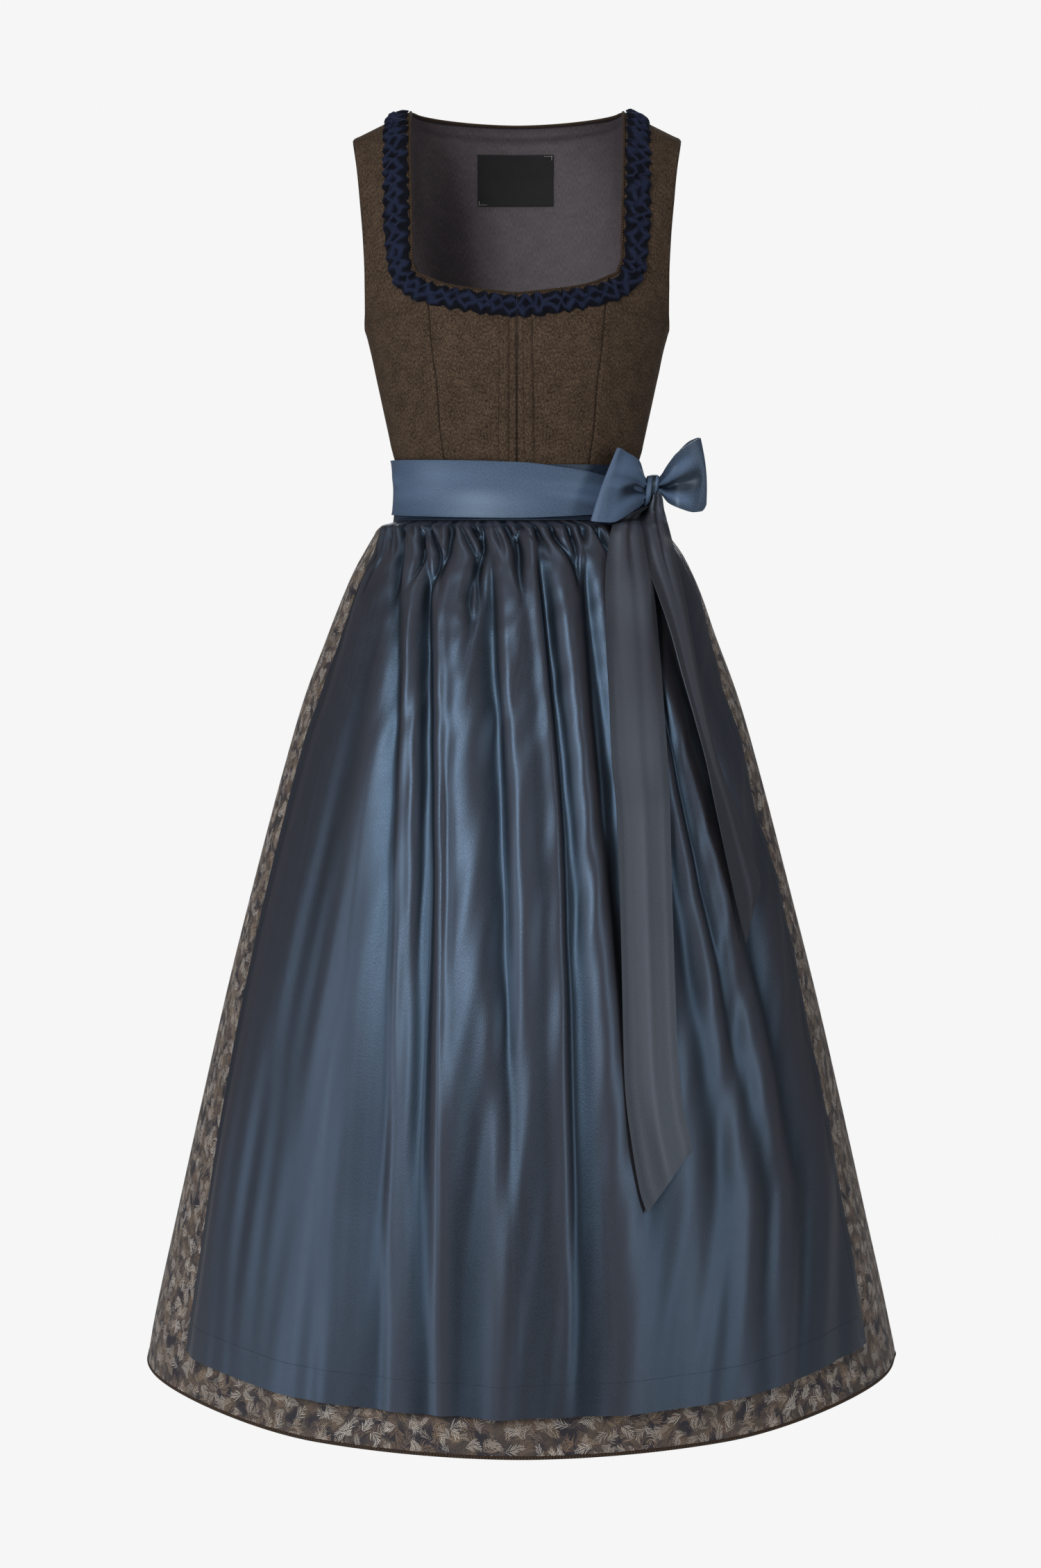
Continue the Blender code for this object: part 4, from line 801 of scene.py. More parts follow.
def back_half_grid():
    """Half of the back, in rows from the middle out to the armhole and the back seam."""
    shares = np.append(finer((0.0, 0.22, 0.42, 0.56, NECK_X / TIP_X, 0.78, 0.89, 0.96), 5),
                       (0.975, 0.988, 0.996, 1.0))
    x = TIP_X * shares
    top = shoulder_height(x)
    on_shoulder = shares >= NECK_X / TIP_X - 1e-9
    rows = [np.stack([x, np.where(on_shoulder, SHOULDER_Y, back_top_y(x)), top], -1)]
    for offset in (0.5, 1.0):
        low = top - 0.002 * offset
        under = body_point(section_angle(x, low), low, back=True)
        ridge = np.stack([x, SHOULDER_Y + 0.004 * offset + 0 * x, top - 0.00008 * offset], -1)
        rows.append(np.where(on_shoulder[:, None], ridge, under))
    for edge_height in finer(BACK_UPPER_ROWS + BACK_SEAM_ROWS):
        drop = min(1.0, (edge_height + SHOULDER_DROP) / (UNDERARM + SHOULDER_DROP))
        height = blend(top, UNDERARM, drop) if edge_height > UNDERARM else edge_height + 0 * x
        edge = armhole(edge_height) if edge_height > BACK_SEAM_TOP else back_seam(edge_height)
        rows.append(body_point(section_angle(edge * shares, height), height, back=True))
    return np.array(rows)


def side_back_grid():
    """The side back, in rows from the side seam to the back seam; its upper edge is the armhole."""
    shares = toward_edges(32)
    arm = blend(UNDERARM, BACK_SEAM_TOP, shares)
    on_arm = np.where(arm > UNDERARM + 1e-6, section_angle(armhole(arm), arm), SIDE_ANGLE)
    rows = []
    for seam_height in finer(BACK_SEAM_ROWS):
        share = (seam_height - BACK_SEAM_TOP) / (WAIST - BACK_SEAM_TOP)
        end = section_angle(back_seam(seam_height), seam_height)
        angle = blend(on_arm, blend(SIDE_ANGLE, end, shares), soft_step(0.0, 0.5, share))
        angle[-1] = end
        rows.append(body_point(angle, blend(arm, WAIST, share), back=True))
    return np.array(rows)


def panel(name, grid, flip=1.0, mirror=False):
    """One panel with its seam grooves and creases, in place of its node."""
    dip, mark = seam_dip(grid)
    dress(name, raised(grid, dip + crease_field(grid, flip)), 0.0014, brown_twill, "brown_twill", "stretched",
          cut=grid, marks={"seam": mark}, mirror_weave=mirror, lined=True)


for name, made_half in (("front", centre_front_grid), ("side_front", side_front_grid),
                        ("side_back", side_back_grid)):
    half = made_half()
    panel(f"bodice_{name}_left", half)
    panel(f"bodice_{name}_right", mirrored(half), flip=-1.0, mirror=True)
back_half = back_half_grid()
back_grid = np.concatenate([mirrored(back_half)[:, :-1], back_half], axis=1)[:, ::-1]
panel("bodice_back", back_grid)

# %% [markdown]
# ## Tucks and the front closure
# Beside the closure the twill is laid in two narrow tucks, each stitched down one edge. They
# are strips that lie on the front panels, thicker at the fold than at the stitched side.

# %% Tucks
TUCK_OUT = 0.0016
TUCKS = (
    # side, x of both edges at the top, shift of them at the foot
    ("right", -0.0165, -0.0075, -0.0008),
    ("left", 0.0060, 0.0145, 0.0018),
)
down = np.linspace(0.0, 1.0, 61)[:, None]
wide = np.linspace(0.0, 1.0, 13)[None, :]
fold = 0.0004 * np.sin(math.pi * wide) - 0.0008 * (hill(wide, 0.10) + hill(1.0 - wide, 0.10))
for side, start, end, shift in TUCKS:
    grid = front_point(blend(start, end, wide) + shift * down, blend(-0.2150, -0.3500, down) + 0.0 * wide)
    dress("front_tuck_" + side, raised(grid, TUCK_OUT + fold + 0.0001 * np.sin(90.0 * down)), 0.0010,
          brown_twill, "brown_twill", "laid", [f"bodice_front_{side}_cloth"], cut=grid)

# %% [markdown]
# ## Lining and label
# The lining shows inside the neck. It is the back panel again, moved in, with a soft roll where
# it is sewn under the neck edge. The label lies on it, its upper and lower ends folded under.

# %% Lining and label
LINING_COLUMNS = 24
middle = back_grid.shape[1] // 2
inside = back_grid[1:60, middle - LINING_COLUMNS:middle + LINING_COLUMNS + 1]
depth = lengths(inside, 0)
roll = 0.0016 * hill(depth - 0.0085, 0.0045) - 0.0006 * hill(depth - 0.017, 0.004)
side = 0.107 * np.linspace(-1.0, 1.0, inside.shape[1])[None, :]
soft = 0.0007 * hill(side - 0.055 + 0.25 * depth, 0.012) + 0.0006 * hill(side + 0.07 - 0.1 * depth, 0.010)
lining = dress("bodice_lining_back", raised(inside, -0.0020 - roll - soft), 0.0006, grey_lining,
               "grey_lining", "stretched", ["bodice_back_cloth"])
face = BVHTree.FromPolygons([v.co for v in lining.data.vertices], [p.vertices for p in lining.data.polygons])

LABEL = ((-0.0405, -0.0315), (0.0370, -0.0830))
LABEL_OUT = 0.0016
label_grid = np.zeros((27, 37, 3))
for i, height in enumerate(np.linspace(LABEL[0][1], LABEL[1][1], 27)):
    for j, x in enumerate(np.linspace(LABEL[0][0], LABEL[1][0], 37)):
        label_grid[i, j] = face.ray_cast(Vector((x, 0.0, height)), Vector((0.0, 1.0, 0.0)))[0]
ends = np.linspace(0.0, 1.0, 27)[:, None]
fold = 0.0004 * (hill(ends - 0.03, 0.03) + hill(ends - 0.97, 0.03))
label_grid[..., 1] -= LABEL_OUT + fold + 0.0002 * np.sin(9.0 * ends)
dress("neck_label", label_grid, 0.0008, black_tape, "black_label", "laid", ["bodice_lining_back_cloth"])

# %% [markdown]
# ## The ruche
# The neck is edged with a velvet strip in box pleats, each pinched together at mid width by a
# stitch, so that between two pinches the cloth opens like a frog's mouth. Its shape follows a
# rule, so Geometry Nodes make it: the strip is laid flat on the bodice, knows for every point
# its place along and across and which way is out, and the tree works out the height of the
# pleats there. The rim of a mouth runs from one pinch out to the strip's edge and back to the
# next pinch; inside it is hollow.

# %% The strip under the ruche
# place along half the neck, inner edge x and z, outer edge x and z
RUCHE = (
    (0.00, 0.1078, -0.0008, 0.1305, -0.0125), (0.10, 0.1070, -0.0230, 0.1303, -0.0340),
    (0.25, 0.1058, -0.0620, 0.1300, -0.0700), (0.42, 0.1043, -0.1100, 0.1292, -0.1160),
    (0.54, 0.1036, -0.1455, 0.1262, -0.1520), (0.60, 0.1010, -0.1635, 0.1212, -0.1730),
    (0.66, 0.0945, -0.1722, 0.1100, -0.1870), (0.74, 0.0748, -0.1805, 0.0860, -0.1985),
    (0.87, 0.0372, -0.1872, 0.0410, -0.2080), (1.00, 0.0002, -0.1915, 0.0002, -0.2125),
)
RUCHE_PLEATS = 23
COLUMNS_A_PLEAT = 18
ruche_edges = smooth_curves(RUCHE)


def ruche_place(share, across):
    """Points on the bodice under the ruche, by place along and across."""
    inner_x, inner_z, outer_x, outer_z = (edge(share) for edge in ruche_edges)
    return front_point(blend(inner_x, outer_x, across), blend(inner_z, outer_z, across))


samples = np.linspace(0.0, 1.0, 401)
run = lengths(ruche_place(samples, 0.5), 0)
even = np.interp(np.linspace(0.0, run[-1], RUCHE_PLEATS * COLUMNS_A_PLEAT + 1), run, samples)
strip = ruche_place(even[None, :], np.linspace(0.0, 1.0, 27)[:, None])[:, ::-1]
print(f"ruche: half of it is {run[-1] * 1000:.0f} mm long, {RUCHE_PLEATS} pleats")

# %% Geometry Nodes: frog-mouth pleats
pleating, ask = new_group(
    "frog-mouth pleats", "GeometryNodeTree",
    (("Geometry", "Geometry"), ("Pleats", "Float", 23.0), ("Rim height", "Float", 0.0052),
     ("Rim width", "Float", 0.34), ("Mouth", "Float", 0.62), ("Base", "Float", 0.0012),
     ("Scallop", "Float", 0.0032), ("Unevenness", "Float", 0.65), ("Seed", "Float", 4.0),
     ("Velvet", "Material")),
    (("Geometry", "Geometry"),))
t = pleating


def kept(name, kind="FLOAT"):
    """What the strip keeps for its points under a name."""
    return t.get("GeometryNodeInputNamedAttribute", {"Name": name}, data_type=kind)


def uneven_by(offset, amount, middle=1.0):
    """The middle value, more or less by a steady random share of the unevenness in every pleat."""
    steady = {"W": number + (ask["Seed"] + offset)}
    chance = t.get("ShaderNodeTexWhiteNoise", steady, "Value", noise_dimensions="1D")
    return middle + (chance - 0.5) * amount * ask["Unevenness"]


def either(test, no, yes):
    """One number where the test fails, another where it holds."""
    return t.get("GeometryNodeSwitch", {0: test, 1: no, 2: yes}, input_type="FLOAT")


spot = t.get("GeometryNodeInputPosition")
warp = t.arrows("SUBTRACT", t.noise(spot, 70.0, 1.0, output="Color"), (0.5, 0.5, 0.5))
warp_along, warp_across, _ = t.apart(warp)
pleats = kept("along") * ask["Pleats"] + warp_along * ask["Unevenness"] * 1.9
aside = kept("across") + warp_across * ask["Unevenness"] * 1.1
number = math.floor(pleats)
phase = t.sum("FRACT", pleats)
phase = phase + uneven_by(7.3, 1.0, 0.0) * (t.sum("SINE", phase * math.pi) * 0.55)
arch = t.sum("POWER", t.sum("MAXIMUM", 1.0 - abs(phase * 2.0 - 1.0), 0.0), 0.80)
upper = t.sum("GREATER_THAN", aside, 0.0)
off = abs(aside) - arch * (ask["Mouth"] * either(upper, uneven_by(1.7, 0.9), uneven_by(3.1, 0.9)))
near = off / ask["Rim width"]
rim = t.sum("EXPONENT", near * near * -1.0)
slope = t.sum("MAXIMUM", 1.0 - off / 0.95, 0.0)
hollow = t.sum("MAXIMUM", off / 0.80 + 1.0, 0.50)
profile = either(t.sum("GREATER_THAN", off, 0.0), hollow, slope)
edge = t.sum("MAXIMUM", 1.0 - t.sum("POWER", abs(kept("across")), 9.0), 0.10)
height = profile * ask["Rim height"] * uneven_by(5.9, 0.8) * edge + ask["Base"]
pull = (0.5 - phase) * (rim * 0.0030) * abs(aside)
scallop = aside * (arch - 0.62) * (ask["Scallop"] * uneven_by(9.4, 1.2))
lift = t.arrows("SCALE", kept("away", "FLOAT_VECTOR"), height)
lift = t.arrows("ADD", lift, t.arrows("SCALE", kept("forward", "FLOAT_VECTOR"), pull))
lift = t.arrows("ADD", lift, t.arrows("SCALE", kept("sideways", "FLOAT_VECTOR"), scallop))
moved = t.get("GeometryNodeSetPosition", {"Geometry": ask["Geometry"], "Offset": lift})
# The rim is kept as the mark "ridge", which the velvet turns into painted light on the rims and painted shade
# in the mouths.
marked = {"Geometry": moved, "Name": "ridge", "Value": rim}
marked = t.get("GeometryNodeStoreNamedAttribute", marked, data_type="FLOAT", domain="POINT")


def dressed(graph, made, material):
    """The end of a tree: real geometry in its material."""
    made = graph.get("GeometryNodeRealizeInstances", {0: made})
    give_out(graph, Geometry=graph.get("GeometryNodeSetMaterial", {"Geometry": made, "Material": material}))


def run_tree(made, graph, **values):
    """Set a tree on an object, with its inputs by name, before it is first worked out."""
    modifier = made.modifiers.new(graph.tree.name, "NODES")
    modifier.node_group = graph.tree
    for item in graph.tree.interface.items_tree:
        name = item.name.replace(" ", "_")
        if item.in_out == "INPUT" and name in values:
            modifier[item.identifier] = values[name]
    return made


dressed(t, marked, ask["Velvet"])


# %% The two halves of the ruche
def ruche(name, grid, seed):
    """A strip with its place along, across and out, pleated by the tree."""
    high, across = grid.shape[:2]
    mesh = bpy.data.meshes.new(name)
    mesh.from_pydata(grid.reshape(-1, 3).tolist(), [], quads_of(high, across))
    mark_points(mesh, {"along": np.tile(np.linspace(0.0, 1.0, across), (high, 1)),
                       "across": np.tile(np.linspace(-1.0, 1.0, high)[:, None], (1, across))})
    mark_points(mesh, {"away": normals_of(grid), "forward": unit(np.gradient(grid, axis=1)),
                       "sideways": unit(np.gradient(grid, axis=0))}, "FLOAT_VECTOR")
    mesh.materials.append(navy_velvet)
    mesh.shade_smooth()
    made = add(bpy.data.objects.new(name + "_cloth", mesh))
    thicken(run_tree(made, pleating, Pleats=float(RUCHE_PLEATS), Seed=seed, Velvet=navy_velvet), 0.0009)
    cut_of(sew_on(made, name), grid)


ruche("neck_ruche_left", strip, 4.0)
ruche("neck_ruche_right", mirrored(strip), 91.0)

# %% [markdown]
# ## Piping
# A thin cord of brown braid finishes the neck edge all round. It is a tube along the edge's own
# points, with a map that lets the twist of the braid run round it.

# %% Tube along a path
def tube(name, path, radius, material, closed, sides=10):
    """A round cord along a path, with its cloth map running along and round it."""
    if closed:
        ahead = unit(np.roll(path, -1, axis=0) - np.roll(path, 1, axis=0))
    else:
        ahead = unit(np.gradient(path, axis=0))
    front = np.array([0.0, -1.0, 0.0])
    up = front - ahead * (ahead @ front)[:, None]
    flat = np.linalg.norm(up, axis=1) < 0.25
    up[flat] = np.array([0.0, 0.0, 1.0]) - ahead[flat] * ahead[flat][:, 2:]
    up = unit(up)[:, None]
    turn = np.linspace(0.0, 2.0 * math.pi, sides, endpoint=False)[None, :, None]
    ring = path[:, None] + radius * (np.cos(turn) * up + np.sin(turn) * np.cross(ahead[:, None], up))
    count = len(path)
    index = np.arange(count * sides).reshape(count, sides)
    beyond = np.roll(index, -1, axis=0)
    faces = np.stack([index, np.roll(index, -1, axis=1), np.roll(beyond, -1, axis=1), beyond], -1)
    faces = faces[:count if closed else count - 1].reshape(-1, 4).tolist()
    if not closed:
        faces += [index[0][::-1].tolist(), index[-1].tolist()]
    mesh = bpy.data.meshes.new(name)
    mesh.from_pydata(ring.reshape(-1, 3).tolist(), [], faces)
    corner = corners_of(mesh)
    give_map(mesh, lengths(path, 0)[corner // sides], 2.0 * math.pi * radius * (corner % sides) / sides)
    mesh.materials.append(material)
    mesh.shade_smooth()
    print(f"{name}: {lengths(path, 0)[-1]:.3f} m long")
    return add(bpy.data.objects.new(name, mesh))


def even_path(points, spacing, closed):
    """Points at even distances on a smooth curve through the given ones."""
    points = np.asarray(points, float)
    if closed:
        points = np.concatenate([points[-2:], points, points[:3]])
    else:
        points = np.concatenate([[2 * points[0] - points[1]], points, [2 * points[-1] - points[-2]]])
    fine_points = []
    s = np.linspace(0.0, 1.0, 16, endpoint=False)[:, None]
    for i in range(1, len(points) - 2):
        a, b, c, d = points[i - 1:i + 3]
        bent = (2 * a - 5 * b + 4 * c - d) * s ** 2 + (3 * b - a - 3 * c + d) * s ** 3
        fine_points.append(0.5 * (2 * b + (c - a) * s + bent))
    curve = np.concatenate(fine_points + [points[-2:-1]])
    if closed:
        curve = curve[16:-16]
    run = lengths(curve, 0)
    at = np.linspace(0.0, run[-1], max(3, int(round(run[-1] / spacing))) + 1)
    made = np.stack([np.interp(at, run, curve[:, k]) for k in range(3)], -1)
    return made[:-1] if closed else made


# %% Piping round the neck
PIPING_OUT = 0.0012
neck_x, neck_foot = NECK_BOTTOM[-1]
edge_points = [(neck_x * s, float(neck_bottom(neck_x * s))) for s in (0.0, 0.2, 0.4, 0.6, 0.8)]
edge_points += [(float(inner_edge(h)), h) for h, _ in reversed(SIDE_ROWS) if h >= neck_foot]
half_path = []
for i, (x, height) in enumerate(edge_points):
    before, after = edge_points[max(0, i - 1)], edge_points[min(len(edge_points) - 1, i + 1)]
    along = Vector((after[0] - before[0], 0.0, after[1] - before[1])).normalized()
    aside = Vector((-along.z, 0.0, along.x)) * PIPING_OUT
    half_path.append(Vector(front_point(np.array(x), np.array(height))) + aside + Vector((0.0, 0.0007, 0.0)))
half_path[0].x = 0.0
half_path.append(Vector((NECK_X - 0.0014, SHOULDER_Y - 0.009, -0.0014)))
half_path.append(Vector((NECK_X - 0.0010, SHOULDER_Y, -0.0010)))
for share in (0.975, 0.93, 0.85, 0.70, 0.50, 0.33, 0.16, 0.0):
    x = NECK_X * share
    inwards = 0.0018 * float(soft_step(0.90, 1.0, share))
    half_path.append(Vector((x - inwards, float(back_top_y(x)) - 0.0007, float(shoulder_height(x)) + 0.0001)))
path = half_path + [Vector((-p.x, p.y, p.z)) for p in reversed(half_path[1:-1])]
cord = tube("neck_piping_cord", even_path(path, 0.0025, True), 0.0014, brown_braid, True)
sew_on(cord, "neck_piping")

# %% Hook
HOOK_PLACE = (0.0088, -0.2105)
HOOK_BEND = 0.0016
HOOK_ARM = 0.0035
turns = np.linspace(-math.pi / 2, math.pi / 2, 9)
bend = [(HOOK_BEND * math.cos(a), -0.0012, 0.0012 * math.sin(a)) for a in turns]
arms = [(p[0] - HOOK_ARM, -0.0004, p[2]) for p in (bend[0], bend[-1])]
wire = front_point(*np.array(HOOK_PLACE)) + np.array([arms[0], *bend, arms[1]])
hook = tube("front_hook_wire", even_path(wire, 0.0004, False), 0.00045, hook_steel, False, sides=8)
sew_on(hook, "front_hook")

# %% [markdown]
# ## The form of the skirt
# The skirt hangs as a wide cone that is flatter in front and behind than a circle. All that
# lies on it, the apron too, is measured from this form: an angle round the waist, a height and
# a distance outwards.

# %% Form of the skirt
SKIRT_HEM = -1.2650
TAPE_HEM = -1.2708
APRON_TOP = -0.4048
APRON_HEM = -1.2310
BAND_FOOT = -0.4062
HEM_RISE = 0.010
# millimetres: height, half width, depth to the front and to the back, then roundness (no unit)
# and sideways place
SKIRT = in_metres((
    (-377.1, 118.5, 85.5, 79, 2.2, 0), (-406.2, 122.1, 89.6, 83.6, 2.18, 0.5),
    (-411, 138.5, 103.5, 98, 2.16, 3.2), (-422, 146.8, 110, 106.5, 2.12, 4.5),
    (-440, 159, 120.5, 117.5, 2.1, 6), (-460, 169.8, 130.2, 128.5, 2.07, 5.8),
    (-485, 180.8, 140, 139, 2.04, 5.3), (-520, 194.5, 153, 153, 2, 4.5),
    (-580, 217.3, 174, 175, 1.98, 4.4), (-660, 240.8, 195, 196.5, 1.95, 4.2),
    (-760, 267, 218.5, 220, 1.92, 3.7), (-880, 296.7, 245, 247, 1.9, 3.2),
    (-1000, 323.8, 269, 272, 1.87, 3), (-1120, 350.5, 293, 296, 1.84, 3),
    (-1231, 374.8, 313, 316.5, 1.81, 3), (-1265, 381.2, 319, 322.5, 1.8, 3.5),
    (-1270.8, 382.2, 320, 323.5, 1.8, 3.5)), 4)
skirt_width, skirt_front, skirt_back, skirt_round, skirt_middle = smooth_curves(SKIRT)


def ring(angle, width, front, back, roundness):
    """Points on a rounded section by angle in degrees, and the way straight out from them."""
    side, ahead = np.sin(np.radians(angle)), np.cos(np.radians(angle))
    depth = np.where(ahead > 0.0, front, back)
    x = width * np.copysign(np.abs(side) ** (2.0 / roundness), side)
    y = -depth * np.copysign(np.abs(ahead) ** (2.0 / roundness), ahead)
    size = np.hypot(side / width, ahead / depth)
    return x, y, side / width / size, -ahead / depth / size


def skirt_form(angle, height, out=0.0):
    """Points on the skirt's form by angle in degrees and height, moved straight out."""
    width = skirt_width(height)
    x, y, out_x, out_y = ring(angle, width, skirt_front(height), skirt_back(height), skirt_round(height))
    rise = HEM_RISE * soft_step(0.50, 0.95, np.abs(x) / width)
    lift = rise * np.maximum(0.0, (height - WAIST) / (TAPE_HEM - WAIST)) ** 2
    return np.stack([skirt_middle(height) + x + out_x * out, y + out_y * out, height + lift], -1)


def before_skirt(x, height, lift):
    """Points in front of the skirt, seen at x and a height."""
    power = skirt_round(height)
    share = np.minimum(1.0, np.abs(x - skirt_middle(height)) / skirt_width(height))
    y = -skirt_front(height) * (1.0 - share ** power) ** (1.0 / power)
    return np.stack([x + 0 * y, y - lift, height + 0 * y], -1)


def row_heights(top, foot, count, power):
    """Heights from top to foot that lie closer together at the top."""
    return top + (foot - top) * np.linspace(0.0, 1.0, count) ** power


print("skirt:", len(SKIRT), "sections")

# %% [markdown]
# ## Skirt panels
# Five panels make the skirt. At the sides and behind it is gathered into the waist: narrow
# valleys run down from the band, each with its own length, depth and drift, and broad folds
# carry on to the hem. Under the apron the cloth lies nearly flat. No gather is drawn between
# valleys, because the cloth stands out there by itself.

# %% Gathers and folds of the skirt
dice = np.random.default_rng(11)
# angle at the waist and at the hem, height, half width at the hem, height where it starts
SKIRT_FOLDS = (
    (95.0, 92.0, 0.004, 0.030, -0.62), (112.0, 109.0, 0.009, 0.036, -0.50),
    (136.0, 138.0, 0.007, 0.042, -0.58), (157.0, 154.0, 0.011, 0.034, -0.46),
    (174.0, 177.0, 0.006, 0.038, -0.64), (201.0, 205.0, 0.010, 0.040, -0.48),
    (222.0, 219.0, 0.007, 0.032, -0.60), (243.0, 247.0, 0.009, 0.038, -0.52),
    (262.0, 263.0, 0.004, 0.028, -0.70),
)
skirt_valleys = []
place = 87.0
while place < 273.0:
    chances = ((-2.2, 2.2), (0.0026, 0.0054), (0.05, 0.26), (0.75, 1.25))
    skirt_valleys.append((place, *(dice.uniform(*chance) for chance in chances)))
    place += dice.uniform(3.6, 5.6)
print("skirt:", len(skirt_valleys), "valleys and", len(SKIRT_FOLDS), "folds")


def skirt_out(angle, height):
    """How far the skirt stands out at an angle round the waist and a height."""
    around = np.mod(angle, 360.0)
    bare = between_steps(85.0, 95.0, 265.0, 275.0, around)
    drop = np.maximum(0.0, BAND_FOOT - height)
    out = 0.0030 * bare * between_steps(0.0, 0.012, 0.03, 0.16, drop)
    at_side = between_steps(80.0, 90.0, 106.0, 122.0, around)
    out = out + 0.0090 * at_side * soft_step(-0.3960, -0.4050, height) * (1.0 - soft_step(0.0, 0.011, drop))
    for top, drift, depth, length, narrow in skirt_valleys:
        half = np.degrees((0.0022 + 0.020 * drop) * narrow / skirt_width(height))
        fade = between_steps(0.0, 0.006, 0.35 * length, length, drop)
        out = out - depth * bare * fade * hill(around - top - drift * drop / length, half)
    for top, hem, rise, half_width, begins in SKIRT_FOLDS:
        share = np.maximum(0.0, (begins - height) / (begins - SKIRT_HEM))
        away = np.radians(around - blend(top, hem, share)) * skirt_width(height)
        out = out + rise * soft_step(0.0, 0.6, share) * hill(away, half_width)
    return out


FRONT_EDGE = -22.3
# name, where the panel ends, columns
SKIRT_PANELS = (("front", 52.7, 61), ("side_left", 124.0, 97), ("back_left", 195.2, 97),
                ("back_right", 266.5, 97), ("side_right", 360.0 + FRONT_EDGE, 97))
skirt_heights = np.concatenate([np.linspace(-0.3771, -0.4030, 5), np.linspace(-0.4040, -0.4240, 24),
                                row_heights(-0.4260, SKIRT_HEM - 0.0028, 68, 1.15)])[:, None]
start = FRONT_EDGE
for name, end, columns in SKIRT_PANELS:
    angles = np.linspace(start, end, columns)[None, :]
    grid = skirt_form(angles, skirt_heights, skirt_out(angles, skirt_heights))
    dip, mark = seam_dip(grid)
    dress("skirt_" + name, raised(grid, dip), 0.0012, frond_brocade, "frond_brocade", "gathered",
          ["sash_cloth"], cut=grid, marks={"seam": mark})
    start = end

# %% Hem tape
# down from the hem, out from the cloth
TAPE = in_metres(((-2, 0.4), (-2.6, 1), (-3.4, 1.3), (-4.3, 1.2), (-5.2, 0.7), (-5.8, -0.2)))
angles = np.arange(0.0, 360.0, 0.45)[None, :] + FRONT_EDGE
level, round_edge = np.array(TAPE).T[:, :, None]
grid = skirt_form(angles, SKIRT_HEM + 0.0 * level, skirt_out(angles, np.array([[SKIRT_HEM]])))
grid[..., 2] += level
dress("hem_tape", raised(grid, round_edge + 0.0 * angles, closed=True), 0.0016, hem_twill, "hem_twill",
      "laid", ["skirt_front_cloth"], cut=grid, name="hem_tape_braid", closed=True)

# %% [markdown]
# ## The apron
# The apron is the dress's showpiece. It is gathered into the band by hand, so below the band the
# satin stands out in a crumpled frill: narrow valleys, some only two fingers long and ending
# in a pocket, some running down a hand's breadth, none quite straight. Further down long soft
# folds remain, broad ones and narrow ones, some with one sharp edge where the cloth was
# pressed. Their courses are tables; only the small gathers come from seeded dice.

# %% Edges and long folds of the apron
# height, angle of the left edge and of the right edge as seen from the front
APRON_EDGES = (
    (-0.4048, -76.0, 77.4), (-0.4220, -70.0, 76.0), (-0.4450, -65.1, 74.0), (-0.4750, -65.2, 74.4),
    (-0.5050, -64.0, 71.4), (-0.5400, -63.6, 68.2), (-0.5760, -64.0, 65.4), (-0.6210, -66.3, 66.6),
    (-0.6820, -66.8, 67.0), (-0.7600, -66.8, 69.2), (-0.8420, -66.2, 69.8), (-0.9100, -65.7, 68.9),
    (-1.0060, -64.7, 68.6), (-1.1050, -63.4, 68.1), (-1.2310, -61.5, 66.4),
)
apron_left, apron_right = smooth_curves(APRON_EDGES)
COURSE_HEIGHTS = (-0.4048, -0.7300, -1.0500)
# place across in thousandths of the width at three heights, then in millimetres height, reach
# to the left and to the right, height where it starts and height where it has faded
APRON_RIDGES = in_metres((
    (60, 138, 75, 6, 34, 40, -440, -2200), (180, 222, 195, 5.5, 20, 26, -460, -1500),
    (185, 296, 318, 3.6, 6, 8, -440, -2200), (200, 318, 336, 2.4, 6, 7, -520, -1900),
    (270, 365, 378, 5, 6, 8, -450, -2200), (300, 398, 398, 7, 16, 26, -440, -1350),
    (415, 488, 490, 4.5, 10, 14, -460, -1100), (470, 515, 490, 5.5, 20, 16, -420, -2000),
    (520, 556, 546, 5, 12, 7, -410, -1450), (590, 609, 622, 8.5, 16, 18, -420, -2100),
    (700, 702, 710, 5, 18, 18, -500, -2000), (790, 770, 790, 5.5, 12, 14, -500, -1800),
    (840, 825, 850, 5.5, 10, 14, -520, -1800), (930, 920, 940, 3, 16, 16, -500, -1300),
    (430, 440, 452, 4, 10, 12, -800, -2400)))
APRON_VALLEYS = in_metres((
    (100, 290, 300, 6, 30, 12, -410, -980), (120, 170, 165, 4, 40, 34, -460, -1350),
    (228, 346, 352, 11, 18, 9, -400, -1180), (285, 376, 380, 2.5, 6, 8, -600, -1050),
    (427, 466, 470, 9.5, 24, 12, -400, -1100), (536, 568, 560, 12.5, 6, 24, -400, -1300),
    (670, 641, 650, 14, 18, 18, -400, -1200), (740, 742, 755, 8, 20, 24, -420, -1100),
    (850, 790, 815, 8, 12, 8, -420, -1000), (900, 868, 890, 4, 10, 18, -500, -1200)))


def across_apron(share, height):
    """Angle round the waist of a place across the apron."""
    return blend(apron_left(height), apron_right(height), share)


def course_of(row, height, share):
    """Place of a fold across the apron at every height, on a line that looks smooth in front."""
    def sideways(s, h):
        return skirt_form(across_apron(s, h), h)[..., 0]
    knots = [(h, float(sideways(s, h))) for h, s in zip(COURSE_HEIGHTS, row)]
    line = smooth_curve(knots, 1)(height)[:, 0]
    return np.array([np.interp(x, seen, share[0]) for x, seen in zip(line, sideways(share, height))])[:, None]


def cusp(away, left, right):
    """1 on a sharp valley line, falling to 0 at its reach, with round shoulders."""
    gone = np.minimum(1.0, np.sqrt((away / np.where(away < 0.0, left, right)) ** 2 + 0.02))
    return (1.0 - gone) ** 2


